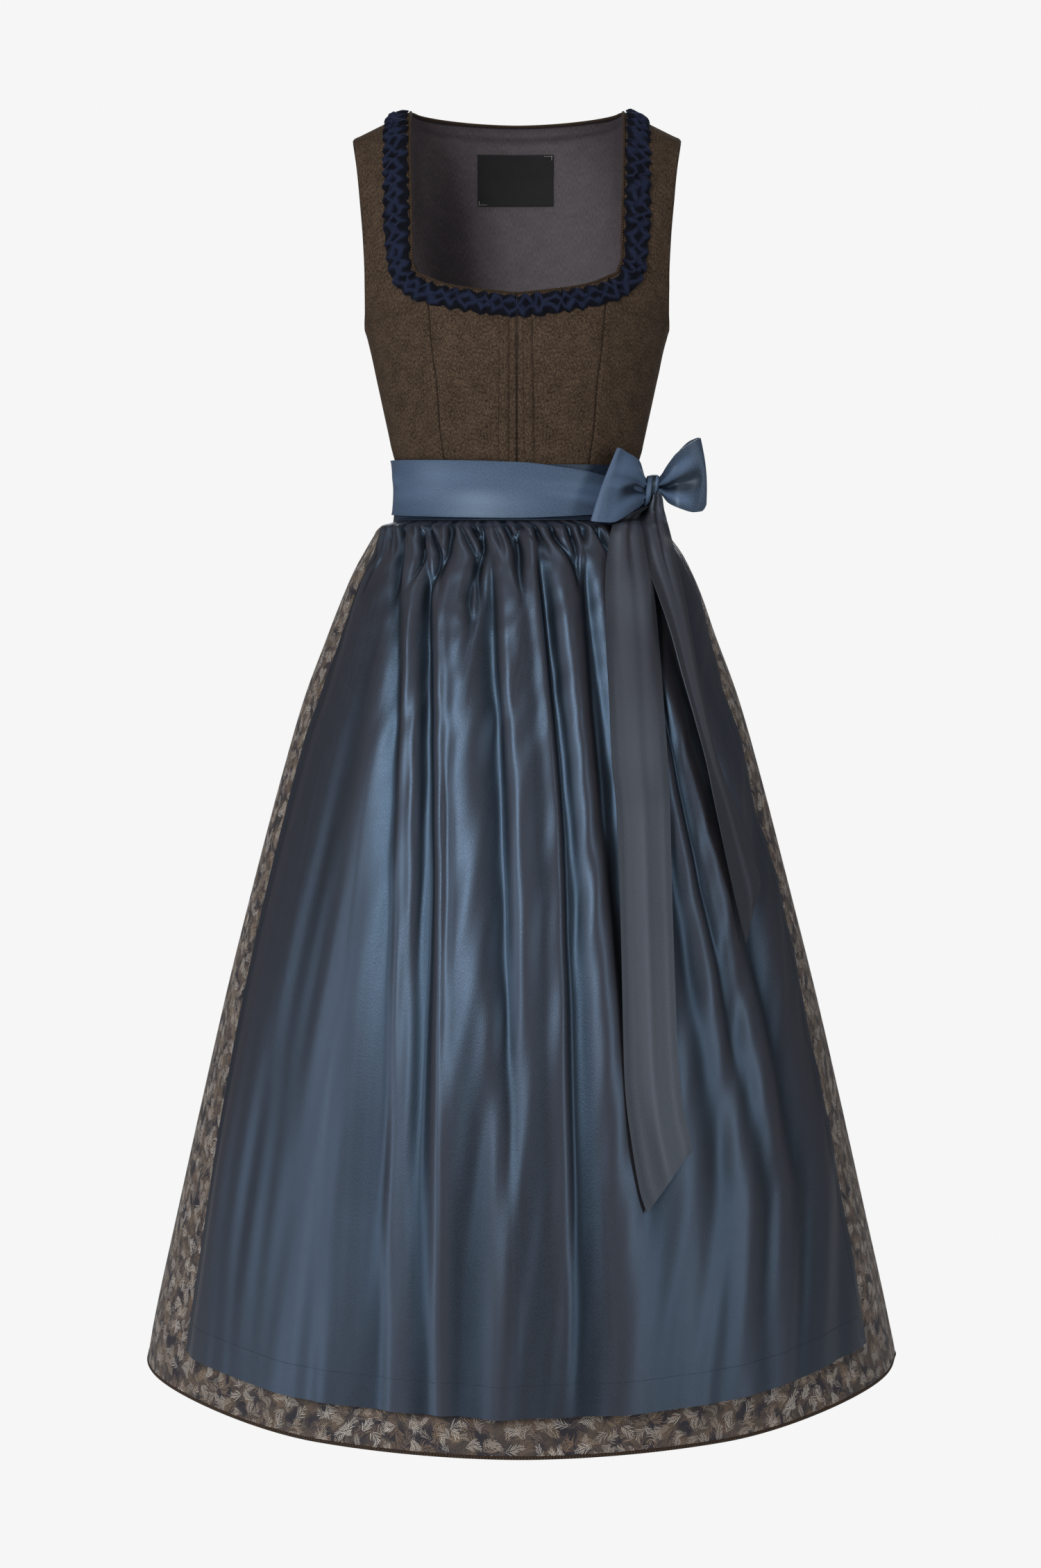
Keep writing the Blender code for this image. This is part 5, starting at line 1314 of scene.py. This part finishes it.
def apron_folds(share, height, span):
    """Long ridges and valleys that widen and fade on their way down."""
    out = 0.0 * share * height
    for row in APRON_RIDGES + APRON_VALLEYS:
        size, left, right, begins, fades = row[3:]
        away = (share - course_of(row, height, share)) * span
        wider = 0.55 + (0.5 + 40.0 * (left + right)) * (APRON_TOP - height)
        full = between_steps(begins, begins - 0.09, blend(begins, fades, 0.45), fades, height)
        if row in APRON_RIDGES:
            out = out + size * full * hill(away, wider * np.where(away < 0.0, left, right))
        else:
            out = out - size * full * cusp(away, wider * 1.25 * left, wider * 1.25 * right)
    return out


# %% Gathers of the apron
dice = np.random.default_rng(29)
gathers = []
place, until_long, lean = 0.012, 2, 1.0
while place < 0.99:
    until_long -= 1
    long_one = until_long <= 0
    if long_one:
        until_long, lean = int(dice.integers(2, 5)), -lean
    depth = dice.uniform(0.0075, 0.0110) if long_one else dice.uniform(0.0055, 0.0088)
    length = dice.uniform(0.060, 0.150) if long_one else dice.uniform(0.014, 0.042)
    tilt = lean * dice.uniform(0.004, 0.014) if long_one else dice.uniform(-0.004, 0.004)
    hook, turn, phase = dice.uniform(0.001, 0.004) * lean, dice.uniform(55.0, 110.0), dice.uniform(0.0, 6.0)
    reach, skew = dice.uniform(0.0048, 0.0070), dice.uniform(0.6, 1.6)
    gathers.append((place, depth, length, tilt, hook, turn, phase, reach, skew))
    place += dice.uniform(0.0120, 0.0240)
print("apron:", len(gathers), "gathers and", len(APRON_RIDGES) + len(APRON_VALLEYS), "long folds")


def apron_gathers(share, height, span):
    """Valleys that run down from the band, cut into a frill that stands out below it."""
    drop = np.maximum(0.0, APRON_TOP - height)
    side = between_steps(0.0, 0.06, 0.96, 1.0, share) * (1.0 - 0.72 * soft_step(0.70, 0.84, share))
    out = 0.0100 * soft_step(-0.002, 0.008, drop) * (1.0 - 0.75 * soft_step(0.03, 0.20, drop)) + 0.0 * share
    for place, depth, length, tilt, hook, turn, phase, reach, skew in gathers:
        bent = hook * (np.sin(turn * drop + phase) - math.sin(phase))
        away = (share - place) * span - tilt * drop / length - bent
        fade = between_steps(-0.003, 0.002, 0.35 * length, length, drop)
        reach = reach * (1.0 + 11.0 * drop) * (0.45 + 0.55 * fade)
        out = out - depth * (1.0 + 2.0 * drop) * fade * cusp(away, reach * skew, reach / skew)
        out = out + 0.0005 * hill(drop - 1.04 * length, 0.0100) * hill(away, 1.3 * reach)
    return out * side


def crumple(across, down, seed, size, amount, waves=14):
    """Small smooth unevenness: seeded waves of about the same size in all directions."""
    rolls = np.random.default_rng(seed)
    out = 0.0 * across * down
    for _ in range(waves):
        turn, phase = rolls.uniform(0.0, 2.0 * math.pi, 2)
        tight = 2.0 * math.pi / (size * rolls.uniform(0.7, 1.5))
        out = out + np.sin(tight * (across * math.cos(turn) + down * math.sin(turn)) + phase)
    return out * amount * math.sqrt(2.0 / waves)


# %% Apron
share = np.linspace(0.0, 1.0, 311)[None, :] + np.zeros((150, 1))
height = row_heights(APRON_TOP, APRON_HEM, 150, 1.55)[:, None] + 0.0 * share
drop = (APRON_TOP - height) / (APRON_TOP - APRON_HEM)
span = lengths(skirt_form(across_apron(share, height), height), 1)[:, -1:]
place = share * span
small = crumple(place, height, 5, 0.030, 0.0002) * (1.0 - soft_step(0.06, 0.25, drop))
slow = crumple(place, 0.12 * height, 8, 0.080, 0.0009)
streaks = crumple(place, 0.09 * height, 13, 0.030, 0.0004) * soft_step(0.05, 0.25, drop)
spread = soft_step(0.0, 0.0037, APRON_TOP - height)
inner = between_steps(0.0, 0.04, 0.96, 1.0, share)
relief = apron_folds(share, height, span) * inner + apron_gathers(share, height, span) + small
over = blend(0.0016, 0.0028, spread) + (relief + slow + streaks) * spread
out = 0.0010 + 0.5 * (over + np.sqrt(over ** 2 + 0.0018 ** 2))
corner = 0.006 * soft_step(-1.0, APRON_HEM, height) * np.abs(2.0 * share - 1.0) ** 2
apron_grid = skirt_form(across_apron(share, height), height + corner, out)


def calmed(values, columns):
    """Rows of numbers, each taken together with its neighbours on both sides."""
    weights = hill(np.linspace(-2.0, 2.0, 2 * columns + 1), 1.0)
    longer = np.pad(values, ((0, 0), (columns, columns)), mode="edge")
    return np.array([np.convolve(row, weights / weights.sum(), mode="valid") for row in longer])


# Painted light and shade: the relief's height above its neighbours, which the satin paints lighter on the
# crests and darker in the hollows.
ridge = np.clip(0.55 + (relief - calmed(relief, 20)) / 0.0070, 0.0, 1.0)
dress("apron", apron_grid, 0.0007, shot_satin, "shot_satin", "gathered", ["skirt_front_cloth"],
      marks={"ridge": ridge})

# %% [markdown]
# ## Waistband, sash and welt
# The apron hangs from a band, and the sash, which is the apron's own ties, is wound over it and
# drawn together at the knot. Only a narrow welt of the band shows below the sash.

# %% Waist form and waistband
# height, half width, depth to the front and to the back
WAIST_SECTIONS = (
    (-0.4066, 0.1222, 0.0898, 0.0838), (-0.3768, 0.1194, 0.0864, 0.0799),
    (-0.3600, 0.1206, 0.0885, 0.0808), (-0.3440, 0.1226, 0.0915, 0.0825),
)
waist_width, waist_front, waist_back = smooth_curves(WAIST_SECTIONS)


def waist_form(angle, height, out):
    """Points round the waist by angle in degrees and height, moved out."""
    width, front, back = (curve(height) + out for curve in (waist_width, waist_front, waist_back))
    x, y, _, _ = ring(angle, width, front, back, BODICE_ROUNDNESS)
    return np.stack([x, y, height + 0.0 * x], -1)


WELT = -0.4056
angles = np.linspace(-96.0, 96.0, 193)[None, :]
heights = np.append(np.linspace(-0.3520, -0.4030, 17), np.linspace(-0.4038, -0.4072, 12))[:, None]
bulge = 0.0034 * (1.0 - soft_step(50.0, 78.0, np.abs(angles))) * hill(heights - WELT, 0.0012)
# Painted shade: the band is coloured in the satin's darker tones, as it lies under the sash.
dress("apron_waistband", waist_form(angles, heights, 0.0020 + bulge), 0.0010, blue_satin, "blue_satin",
      "stretched", ["bodice_front_left_cloth"], marks={"ridge": 0.25})

# %% Sash
# angle, upper edge, lower edge, how far it stands out
SASH_EDGES = (
    (-180.0, -0.3500, -0.4030, -0.0020), (-112.0, -0.3480, -0.4015, -0.0020), (-98.0, -0.3462, -0.3998, 0.0),
    (-50.0, -0.3472, -0.4020, 0.0), (0.0, -0.3500, -0.4040, 0.0), (16.0, -0.3540, -0.4026, 0.0),
    (31.0, -0.3585, -0.4010, 0.0), (44.0, -0.3635, -0.3992, 0.0003), (63.0, -0.3660, -0.3960, 0.0012),
    (76.0, -0.3650, -0.3920, 0.0030), (88.0, -0.3620, -0.3960, 0.0012), (100.0, -0.3550, -0.4005, 0.0),
    (116.0, -0.3520, -0.4020, -0.0020), (180.0, -0.3500, -0.4030, -0.0020),
)
sash_top, sash_foot, sash_rise = smooth_curves(SASH_EDGES)
# angle, place down the sash, tilt, half length in degrees, half width, height of the crease
SASH_CREASES = (
    (60.0, 0.50, 0.002, 22.0, 0.10, 0.0013), (58.0, 0.25, -0.004, 20.0, 0.08, 0.0011),
    (55.0, 0.76, 0.005, 24.0, 0.08, 0.0012), (34.0, 0.60, 0.004, 18.0, 0.07, 0.0004),
    (20.0, 0.35, -0.002, 22.0, 0.08, 0.0002), (-30.0, 0.30, 0.001, 26.0, 0.14, 0.0002),
    (-62.0, 0.62, -0.002, 22.0, 0.12, 0.0003), (-15.0, 0.72, 0.002, 18.0, 0.10, 0.0002),
    (-78.0, 0.35, 0.003, 16.0, 0.09, 0.0004), (96.0, 0.45, -0.004, 16.0, 0.10, 0.0012),
    (99.0, 0.75, -0.003, 15.0, 0.08, 0.0009), (150.0, 0.40, 0.001, 26.0, 0.09, 0.0006),
    (-140.0, 0.60, 0.001, 26.0, 0.09, 0.0006), (178.0, 0.70, 0.0, 20.0, 0.07, 0.0005),
)
angles = np.linspace(-180.0, 180.0, 240, endpoint=False)[None, :]
down = np.linspace(0.0, 1.0, 25)[:, None]
crease = 0.0 * angles * down
for middle, place, tilt, half_length, half_width, rise in SASH_CREASES:
    away = angles - middle
    crease = crease + rise * hill(away, half_length) * hill(down - place - tilt * away, half_width)


def thick_edges(across, height, reach):
    """A ribbon's two edges are a little thicker than its middle."""
    return height * (hill(across, reach) + hill(1.0 - across, reach))


out = 0.0042 + sash_rise(angles) + 0.0006 * np.sin(math.pi * down) + crease + thick_edges(down, 0.0005, 0.03)
grid = waist_form(angles, blend(sash_top(angles), sash_foot(angles), down), out)
# Painted light: the sash is coloured towards its lighter tone, lighter still on its creases.
ridge = np.clip(0.66 + (crease - 0.0002) / 0.0022, 0.0, 1.1)
dress("sash", grid, 0.0012, blue_satin, "blue_satin", "stretched", ["apron_waistband_cloth"], closed=True,
      marks={"ridge": ridge})

# %% [markdown]
# ## The bow
# Two loops, a knot and two hanging ends. The sections of the tables are the cut ribbon as it
# lies in the loop; finer rows go smoothly through them, and folds fan out from the knot.

# %% Hanging ends
# millimetres, for the ribbon's left and right edge in turn: height, x, distance from the skirt
TAIL_FRONT = in_metres((
    (-391.6, 124.2, 28, -391.6, 133.5, 28), (-402.5, 105, 16, -400, 123.5, 28),
    (-410, 93.5, 22, -409.2, 121.5, 32), (-441.4, 86.9, 20, -446.8, 126.8, 26),
    (-468.7, 84.9, 17, -475.6, 132.6, 22), (-508.9, 85.2, 14, -526.8, 137.4, 15),
    (-575.6, 88, 14, -568.6, 140.1, 15), (-635.3, 90.3, 14, -637, 144.4, 15),
    (-675.5, 94.1, 14, -670, 145.8, 15), (-797.4, 98, 14, -780, 147.8, 15),
    (-927.6, 100.7, 14, -917.6, 152.3, 15), (-987.9, 107.3, 14, -960, 157, 15),
    (-1033, 115.3, 14, -985, 163, 15), (-1051, 121.4, 14, -996.8, 165.1, 15)))
TAIL_SIDE = in_metres((
    (-371.5, 131, 26, -371.5, 141, 28), (-383.8, 128, 24, -383.8, 144.7, 31),
    (-392.5, 123.5, 22, -393.2, 145.5, 36), (-403.3, 120.5, 20, -404.5, 148, 46),
    (-413, 119, 16, -416.2, 151, 50), (-438.1, 122.5, 18, -447, 157.1, 32),
    (-473.9, 135, 30, -484.8, 165.1, 26), (-514.2, 148.3, 42, -522.4, 171.2, 20),
    (-551.1, 158, 42, -561.6, 177.6, 20), (-596.4, 170.9, 42, -610, 188, 20),
    (-636.8, 181.7, 40, -639.6, 195.6, 20), (-675.3, 189.8, 36, -681.7, 212.2, 20),
    (-726.7, 200.8, 30, -724.5, 226.8, 20), (-775.9, 211.9, 25, -758.5, 237.1, 20),
    (-812.2, 220.8, 22, -784.8, 228.4, 22)))
# place across, drift, half width, height, start and end along the ribbon
FRONT_WAVES = (
    (0.34, 0.06, 0.16, 0.0018, 0.05, 0.80), (0.76, -0.08, 0.12, 0.0014, 0.05, 0.60),
    (0.55, 0.0, 0.07, -0.0010, 0.0, 0.25), (0.50, 0.0, 0.07, 0.0010, 0.30, 1.0),
    (0.15, 0.02, 0.06, 0.0007, 0.45, 1.0), (0.85, 0.02, 0.07, 0.0008, 0.50, 1.0))
SIDE_WAVES = (
    (0.24, -0.20, 0.10, -0.0060, -0.10, 0.10), (0.42, 0.05, 0.12, 0.0030, 0.0, 0.70),
    (0.75, -0.10, 0.10, 0.0022, 0.10, 0.70), (0.62, 0.0, 0.05, -0.0016, 0.0, 0.45),
    (0.55, 0.0, 0.08, 0.0010, 0.40, 1.0))


def between_rows(table, count):
    """The rows of a table with smooth ones between them."""
    at = np.linspace(0.0, len(table) - 1.0, count)
    return [curve(at) for curve in smooth_curves([(float(i), *row) for i, row in enumerate(table)])]


def hanging_end(name, table, waves, rests_on):
    """A ribbon from the knot to its slanted cut, hollow across and softly waved."""
    rows = between_rows(table, 170)
    across = np.linspace(0.0, 1.0, 21)[None, :]
    left, right = (before_skirt(x, z, lift)[:, None] for z, x, lift in (rows[:3], rows[3:]))
    grid = blend(left, right, across[..., None])
    grid[..., 1] = calmed(grid[..., 1].T, 8).T
    down = np.linspace(0.0, 1.0, 170)[:, None]
    lines = 0.0 * across * down
    for middle, drift, half, rise, start, stop in waves:
        fade = between_steps(start - 0.08, start + 0.02, stop - 0.1, stop + 0.1, down)
        lines = lines + rise * fade * hill(across - middle - drift * down, half)
    grid[..., 1] -= 0.0025 * np.sin(math.pi * across) + lines + thick_edges(across, 0.0004, 0.05)
    # Painted light and shade: the ribbon is coloured towards its darker tone, lighter along its raised waves
    # and darker in its sunk ones.
    ridge = np.clip(0.35 + lines / 0.003, 0.0, 1.0)
    dress(name, grid, 0.0010, dark_satin, "dark_satin", "hung", rests_on, marks={"ridge": ridge})


hanging_end("bow_tail_front", TAIL_FRONT, FRONT_WAVES, ["apron_cloth"])
hanging_end("bow_tail_side", TAIL_SIDE, SIDE_WAVES, [])

# %% Loops
# millimetres: upper edge, lower edge, and how far the middle stands off them in x and y
LOOP_LEFT = in_metres((
    (133, -31, -369, 132, -31, -380, 0, 0), (127, -37, -362.7, 125.9, -36, -388.7, 0, 0),
    (120.6, -60, -347.7, 112.4, -72, -398.1, -0.5, 2), (107.2, -78, -339.8, 92.2, -102, -408.5, -1, 1),
    (100.1, -87, -336, 77.4, -108, -407.9, -1.5, -1), (97.4, -87, -336.4, 71.4, -106, -406.6, -1.5, -1),
    (99.7, -79.5, -337.5, 75.7, -97, -405.1, -1, 0), (108.2, -69, -342.5, 90.3, -83, -402.3, 0, 0),
    (117.6, -56, -353, 109.3, -62, -394.6, 0, 0), (124.9, -34.5, -364.7, 124.2, -34, -385.9, 0, 0)))
LOOP_RIGHT = in_metres((
    (135, -30, -370, 136, -30, -376, 0, 0), (140.8, -31, -365.5, 142.5, -31, -379.5, 0, 0),
    (146.7, -40, -354.5, 149.9, -42, -388.8, 0.5, 4), (156.6, -47, -341.2, 161.2, -49, -394, 1, 6),
    (168.9, -46, -331.8, 174.5, -48, -397.8, 2, 5), (178, -42, -326.2, 183, -43, -397, 3, 2),
    (182, -37, -324.6, 188, -38, -389.3, 2.6, 0.5), (180, -32, -324, 186.8, -33, -385, 2.6, 0),
    (172.5, -26.5, -326.8, 180, -28, -387, 2, 0), (162.4, -22, -335.5, 165.3, -22.5, -383.7, 1, 0),
    (149.3, -22, -352.7, 152.2, -22, -378.2, 0, 0), (137, -24.5, -369, 138, -24.5, -376, 0, 0)))
# place across, slope, half width, height, start and end round the loop
LEFT_CREASES = (
    (0.32, -0.50, 0.08, 0.0026, 0.02, 0.34), (0.50, 0.10, 0.09, -0.0034, 0.0, 0.30),
    (0.72, 0.45, 0.08, 0.0026, 0.02, 0.32), (0.15, 0.40, 0.05, 0.0009, 0.12, 0.44),
    (0.42, 0.10, 0.05, 0.0012, 0.10, 0.42))
RIGHT_CREASES = (
    (0.55, -0.12, 0.07, -0.0034, 0.02, 0.42), (0.36, -0.35, 0.07, 0.0014, 0.02, 0.40),
    (0.74, 0.30, 0.07, 0.0016, 0.02, 0.36), (0.40, 0.10, 0.05, 0.0008, 0.10, 0.40))


def loop(name, table, creases, brightness, turned):
    """A loop of the bow with folds that fan out from the knot."""
    sections = np.stack(between_rows(table, 97), -1)
    across = np.linspace(0.0, 1.0, 25)[:, None]
    middle = sections[:, [6, 7, 7]] * np.array([1.0, 1.0, 0.0])
    grid = blend(sections[:, 0:3], sections[:, 3:6], across[..., None])
    grid = grid + middle * np.sin(math.pi * across[..., None])
    round_it = np.linspace(0.0, 1.0, 97)[None, :]
    relief = 0.0 * round_it * across
    for place, slope, half, rise, start, stop in creases:
        fade = between_steps(start - 0.06, start + 0.04, stop - 0.12, stop + 0.05, round_it)
        fan = half * (0.45 + 3.2 * np.maximum(0.0, round_it - start))
        relief = relief + rise * fade * hill(across - place - slope * (round_it - start), fan)
    if turned:
        grid, relief = grid[:, ::-1], relief[:, ::-1]
    # Painted light and shade: the loop's base lightness, plus lighter crests and darker hollows.
    ridge = np.clip(brightness + relief / 0.0025, 0.0, 1.0)
    dress(name, raised(grid, relief), 0.0010, blue_satin, "blue_satin", "folded", ["sash_cloth"], cut=grid,
          marks={"ridge": ridge})


# The left loop is painted lighter and the right loop darker, as painted light and painted shade.
loop("bow_loop_left", LOOP_LEFT, LEFT_CREASES, 0.62, True)
loop("bow_loop_right", LOOP_RIGHT, RIGHT_CREASES, 0.38, False)

# %% Knot
KNOT_CENTRE = np.array([0.1290, -0.0272, -0.3766])
KNOT_SIZE = np.array([0.0094, 0.0108, 0.0162])
KNOT_SLANT = 0.46
down = np.linspace(0.02, math.pi - 0.02, 49)[:, None]
about = np.linspace(0.0, 2.0 * math.pi, 72, endpoint=False)[None, :]
ball = np.stack([np.sin(down) * np.sin(about), -np.sin(down) * np.cos(about), np.cos(down) + 0.0 * about], -1)
grid = np.sign(ball) * np.abs(ball) ** 0.78 * KNOT_SIZE
wound = 0.5 * grid[..., 0] / 0.008 + 0.35 * grid[..., 2] / 0.015
folds = (0.0011 * np.sin(11.0 * wound + 0.8) + 0.0005 * np.sin(23.0 * wound + 2.0)) * np.sin(down)
grid[..., 0] += KNOT_SLANT * grid[..., 2]
grid = raised(grid + KNOT_CENTRE, folds, closed=True)
# Painted light and shade: the knot's folds are coloured lighter on their crests and darker in their hollows.
dress("bow_knot", grid, 0.0010, blue_satin, "blue_satin", "folded", ["sash_cloth"], closed=True,
      marks={"ridge": np.clip(0.45 + folds / 0.0016, 0.0, 1.0)})

# %% [markdown]
# ## Stitches
# Rows of stitches follow the hems. One tree serves them all: it walks along a line, sets a
# stitch at every step, turns it along the line and makes some a little longer than others.

# %% Geometry Nodes: a row of stitches
sewing, ask = new_group(
    "row of stitches", "GeometryNodeTree",
    (("Line", "Geometry"), ("Step", "Float", 0.0030), ("Length", "Float", 0.0022),
     ("Thread", "Float", 0.00018), ("Unevenness", "Float", 0.25), ("Seed", "Int", 3),
     ("Thread colour", "Material")),
    (("Geometry", "Geometry"),))
line = sewing.get("GeometryNodeMeshToCurve", {0: ask["Line"]})
steps = sewing.put("GeometryNodeCurveToPoints", {"Curve": line, "Length": ask["Step"]}, mode="LENGTH")
points, tangent = (Flow(sewing, steps.outputs[name]) for name in ("Points", "Tangent"))
blank = {"Vertices": 6, "Radius": ask["Thread"], "Depth": ask["Length"]}
blank = sewing.get("GeometryNodeMeshCylinder", blank, fill_type="NGON")
turn = sewing.get("FunctionNodeAlignRotationToVector", {"Vector": tangent}, axis="Z")
length = {2: 1.0 - ask["Unevenness"], 3: 1.0, "Seed": ask["Seed"]}
length = sewing.get("FunctionNodeRandomValue", length, 1, data_type="FLOAT")
size = sewing.get("ShaderNodeCombineXYZ", {0: 1.0, 1: 1.0, 2: length})
sewn = {"Points": points, "Instance": blank, "Rotation": turn, "Scale": size}
dressed(sewing, sewing.get("GeometryNodeInstanceOnPoints", sewn), ask["Thread colour"])


# %% Rows of stitches
def stitches(name, paths, material, step=0.0030, length=0.0022, thread=0.00018, seed=3):
    """Rows of stitches along one or more paths."""
    points, edges = [], []
    for path in paths:
        edges += [(len(points) + i, len(points) + i + 1) for i in range(len(path) - 1)]
        points += [tuple(p) for p in path]
    mesh = bpy.data.meshes.new(name)
    mesh.from_pydata(points, edges, [])
    made = add(bpy.data.objects.new(name, mesh))
    plain(run_tree(made, sewing, Step=step, Length=length, Thread=thread, Seed=seed, Thread_colour=material))
    made.data.shade_smooth()
    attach(made, "root")
    print(f"{name}: {len(made.data.polygons)} faces")


def on_grid(grid, rows, columns, lift):
    """Points of a grid at fractional rows and columns, just above the cloth."""
    over = raised(grid, np.full(grid.shape[:2], lift))
    rows, columns = np.broadcast_arrays(np.asarray(rows, float), np.asarray(columns, float))
    i = np.clip(rows.astype(int), 0, grid.shape[0] - 2)
    j = np.clip(columns.astype(int), 0, grid.shape[1] - 2)
    upper, lower = (blend(over[k, j], over[k, j + 1], (columns - j)[..., None]) for k in (i, i + 1))
    return blend(upper, lower, (rows - i)[..., None])


SIDE_HEM = 0.009
LOWER_HEM = 0.030
along = lengths(apron_grid, 1)
rows = np.arange(4, apron_grid.shape[0] - 1)
columns = np.arange(apron_grid.shape[1])
paths = []
for from_left in (True, False):
    at = [np.interp(SIDE_HEM if from_left else run[-1] - SIDE_HEM, run, columns) for run in along[rows]]
    paths.append(on_grid(apron_grid, rows, at, 0.00010))
down = lengths(apron_grid, 0)[:, ::2]
at = [np.interp(run[-1] - LOWER_HEM, run, np.arange(len(run))) for run in down.T]
paths.append(on_grid(apron_grid, at[3:-3], columns[::2][3:-3], 0.00010))
stitches("apron_hem_stitches", paths, thread_blue)

# %% Stitches beside the closure and at the label
# x of the row at the top and at the foot
CLOSURE_ROWS = ((-0.0171, -0.0179), (-0.0071, -0.0078), (0.0056, 0.0070), (0.0150, 0.0175))
# row and column of the label's grid, way down, way across
LABEL_CORNERS = ((25.3, 0.7, -1.0, 1.0), (0.8, 35.3, 1.0, -1.0))
s = np.linspace(0.0, 1.0, 60)
closure = [front_point(blend(x_top, x_foot, s), blend(-0.2150, -0.3480, s)) - np.array([0.0, 0.0002, 0.0])
           for x_top, x_foot in CLOSURE_ROWS]
stitches("front_closure_stitches", closure, thread_brown, step=0.0021, length=0.0015, thread=0.00016, seed=8)
s = np.linspace(0.0, 1.0, 6)
corners = []
for row, column, down_way, right_way in LABEL_CORNERS:
    corners.append(on_grid(label_grid, row, column + right_way * 3.4 * s, 0.0002))
    corners.append(on_grid(label_grid, row + down_way * 1.6 * s, column, 0.0002))
stitches("label_corner_stitches", corners, thread_pale, step=0.0016, length=0.0013, thread=0.00020, seed=5)

# %% [markdown]
# ## Studio
# The dress was photographed before a plain pale wall in soft light. A tall key light stands a
# little left of the camera, weaker ones on both sides, a long one overhead, which draws the
# lines of light on the satin, and one behind. The wall and the floor have one colour, and
# neither takes a shadow that the camera would see.

# %% World and floor
WALL = (0.922, 0.922, 0.922, 1.0)
FLOOR_HEIGHT = -1.45


def blank_nodes(owner):
    """The empty node tree of a world or material."""
    owner.use_nodes = True
    owner.node_tree.nodes.clear()
    return Graph(owner.node_tree)


def seen_by_camera(graph, others, camera_only):
    """One shader for the camera and another for all other rays."""
    ray = graph.get("ShaderNodeLightPath", None, "Is Camera Ray")
    return graph.get("ShaderNodeMixShader", {0: ray, 1: others, 2: camera_only})


world = bpy.data.worlds.new("studio")
bpy.context.scene.world = world
w = blank_nodes(world)
seen = w.get("ShaderNodeBackground", {"Color": WALL, "Strength": 1.0})
fill = w.get("ShaderNodeBackground", {"Color": (0.90, 0.94, 1.0, 1.0), "Strength": 0.14})
w.put("ShaderNodeOutputWorld", {0: seen_by_camera(w, fill, seen)})

floor_finish = bpy.data.materials.new("pale floor")
n = blank_nodes(floor_finish)
pale = n.get("ShaderNodeBsdfDiffuse", {"Color": (0.80, 0.80, 0.80, 1.0)})
glow = n.get("ShaderNodeEmission", {"Color": WALL, "Strength": 1.0})
back = n.get("ShaderNodeNewGeometry", None, "Backfacing")
clear = n.get("ShaderNodeBsdfTransparent")
one_sided = n.get("ShaderNodeMixShader", {0: back, 1: seen_by_camera(n, pale, glow), 2: clear})
n.put("ShaderNodeOutputMaterial", {0: one_sided})
floor_mesh = bpy.data.meshes.new("floor")
corners = [(x, y, FLOOR_HEIGHT) for x, y in ((-8, -8), (8, -8), (8, 8), (-8, 8))]
floor_mesh.from_pydata(corners, [], [(0, 1, 2, 3)])
floor_mesh.materials.append(floor_finish)
add(bpy.data.objects.new("floor", floor_mesh))
print("floor at", FLOOR_HEIGHT)

# %% Lights
# name, place, target's height, size, watts, tone
LIGHTS = (
    ("key light", (-1.15, -2.75, 0.5), -0.6, (0.6, 1.4), 46.0, (1.0, 1.0, 1.0)),
    ("left light", (-2.3, -1.2, -0.9), -0.9, (0.7, 1.6), 15.0, (0.90, 0.95, 1.0)),
    ("right light", (2.2, -1.8, -0.5), -0.8, (0.7, 1.6), 15.0, (1.0, 1.0, 1.0)),
    ("overhead light", (0.0, -0.9, 1.9), -0.5, (1.6, 0.8), 8.0, (1.0, 1.0, 1.0)),
    ("back light", (0.3, 2.6, 0.8), -0.5, (2.0, 1.6), 34.0, (1.0, 1.0, 1.0)),
)
for name, place, target, size, watts, tone in LIGHTS:
    data = bpy.data.lights.new(name, "AREA")
    data.shape = "RECTANGLE"
    data.size, data.size_y = size
    data.energy = watts
    data.color = tone
    light = add(bpy.data.objects.new(name, data))
    light.location = place
    light.rotation_euler = (Vector((0.0, 0.0, target)) - Vector(place)).to_track_quat("-Z", "Y").to_euler()
bpy.context.scene.view_settings.view_transform = "Standard"
bpy.context.scene.view_settings.look = "None"
print("lights:", len(LIGHTS))
